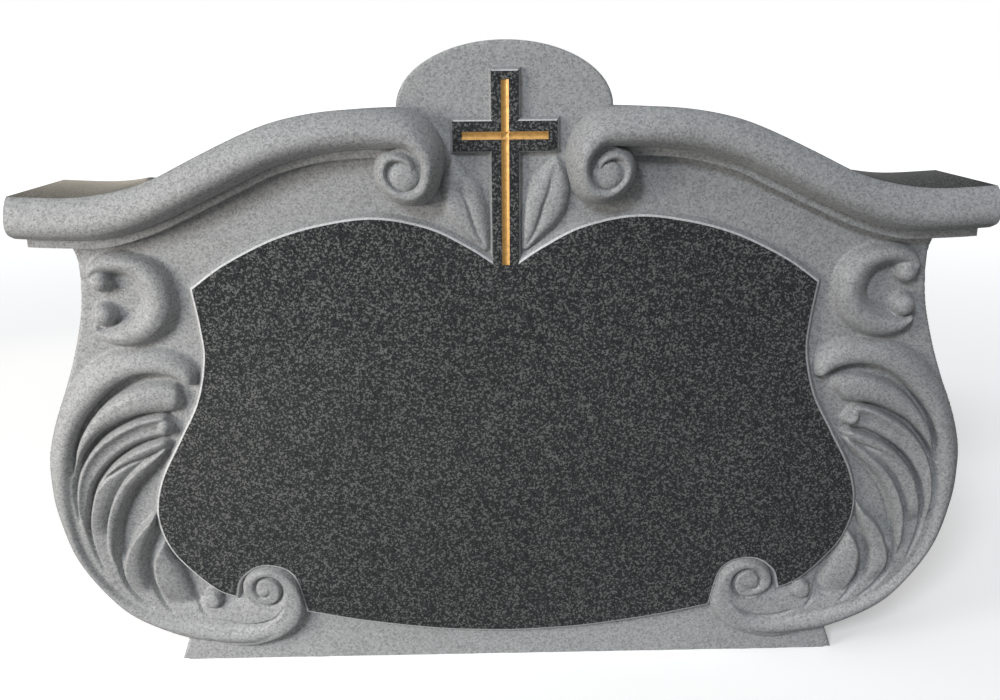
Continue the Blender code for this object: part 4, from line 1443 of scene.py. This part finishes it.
class HEADSTONE_OT_mouldings(BuildStep, bpy.types.Operator):
    """Sweep the two mouldings into their volutes"""

    bl_idname = "headstone.mouldings"
    bl_label = "Mouldings and volutes"
    builders = (build_mouldings, build_volute_centres)


class HEADSTONE_OT_fillets(BuildStep, bpy.types.Operator):
    """Sweep the square fillets under the mouldings"""

    bl_idname = "headstone.fillets"
    bl_label = "Fillets"
    builders = (build_fillets,)


class HEADSTONE_OT_panel(BuildStep, bpy.types.Operator):
    """Raise the polished panel and the cross"""

    bl_idname = "headstone.panel"
    bl_label = "Panel and cross"
    builders = (build_panel,)


class HEADSTONE_OT_gilding(BuildStep, bpy.types.Operator):
    """Gild the lines of the cross"""

    bl_idname = "headstone.gilding"
    bl_label = "Gilded lines"
    builders = (build_gilding,)


def add_light(name, kind, place, target, power, tint, sizes):
    data = bpy.data.lights.new(name, kind)
    data.energy = power
    data.color = tint
    for key, value in sizes.items():
        setattr(data, key, value)
    obj = link_object(name, data)
    obj.location = place
    obj.rotation_euler = (Vector(target) - obj.location).to_track_quat("-Z", "Y").to_euler()
    return obj


def build_camera():
    """A camera at the photograph's place and angle."""
    yaw, pitch, roll = (radians(angle) for angle in CAMERA_TURN)
    forward = np.array([sin(yaw) * cos(pitch), cos(yaw) * cos(pitch), -sin(pitch)])
    right = np.array([cos(yaw), -sin(yaw), 0.0])
    up = np.cross(right, forward)
    turned = np.eye(4)
    turned[:3, 0] = cos(roll) * right + sin(roll) * up
    turned[:3, 1] = -sin(roll) * right + cos(roll) * up
    turned[:3, 2] = -forward
    turned[:3, 3] = CAMERA_PLACE
    data = bpy.data.cameras.new("photo_camera")
    data.lens = CAMERA_LENS
    data.sensor_width = CAMERA_SENSOR
    camera = link_object("photo_camera", data)
    camera.matrix_world = Matrix(turned.tolist())
    bpy.context.scene.camera = camera


def build_floor(colours):
    bm = bmesh.new()
    bmesh.ops.create_circle(bm, cap_ends=True, radius=FLOOR_RADIUS, segments=FLOOR_SEGMENTS)
    mesh = bpy.data.meshes.new("floor")
    bm.to_mesh(mesh)
    bm.free()
    mesh.materials.append(floor_material("plain floor", tuple(colours.floor)))
    floor = link_object("floor", mesh)


def build_world():
    """A white world that the camera sees in full and the stone only in part."""
    world = bpy.data.worlds.new("studio")
    world.use_nodes = True
    add = node_adder(world.node_tree)
    seen = add("ShaderNodeLightPath").outputs["Is Camera Ray"]
    strength = add("ShaderNodeMapRange", ("To Min", WORLD_FILL), ("To Max", 1.0), Value=seen).outputs[0]
    background = world.node_tree.nodes["Background"]
    background.inputs["Color"].default_value = (1, 1, 1, 1)
    give(world.node_tree, background.inputs["Strength"], strength)
    bpy.context.scene.world = world


class HEADSTONE_OT_stage(bpy.types.Operator):
    """Set the floor, the soft lights and the camera"""

    bl_idname = "headstone.stage"
    bl_label = "Stage"

    def execute(self, context):
        context.scene.view_settings.view_transform = "Standard"
        build_floor(context.scene.headstone_colours)
        build_world()
        lights = {name: add_light(name, *values) for name, values in LIGHTS.items()}
        lights["warm card"].visible_camera = False
        build_camera()
        return {"FINISHED"}


OPERATORS = (
    HEADSTONE_OT_slab, HEADSTONE_OT_carved_front, HEADSTONE_OT_mouldings, HEADSTONE_OT_fillets,
    HEADSTONE_OT_panel, HEADSTONE_OT_gilding, HEADSTONE_OT_stage,
)


class HEADSTONE_PT_tools(bpy.types.Panel):
    """The headstone's pieces, in the order they are made"""

    bl_idname = "HEADSTONE_PT_tools"
    bl_label = "Headstone"
    bl_space_type = "VIEW_3D"
    bl_region_type = "UI"
    bl_category = "Headstone"

    def draw(self, context):
        for operator in OPERATORS:
            self.layout.operator(operator.bl_idname)
        for group in (context.scene.headstone_sizes, context.scene.headstone_colours):
            for name in group.bl_rna.properties.keys():
                if name not in ("rna_type", "name"):
                    self.layout.prop(group, name)


CLASSES = (HeadstoneSizes, HeadstoneColours, *OPERATORS, HEADSTONE_PT_tools)


def register():
    for item in CLASSES:
        bpy.utils.register_class(item)
    bpy.types.Scene.headstone_sizes = bpy.props.PointerProperty(type=HeadstoneSizes)
    bpy.types.Scene.headstone_colours = bpy.props.PointerProperty(type=HeadstoneColours)


def unregister():
    del bpy.types.Scene.headstone_colours
    del bpy.types.Scene.headstone_sizes
    for item in reversed(CLASSES):
        bpy.utils.unregister_class(item)


def main():
    register()
    bpy.ops.headstone.slab()
    bpy.ops.headstone.carved_front()
    bpy.ops.headstone.mouldings()
    bpy.ops.headstone.fillets()
    bpy.ops.headstone.panel()
    bpy.ops.headstone.gilding()
    bpy.ops.headstone.stage()


if __name__ == "__main__":
    main()
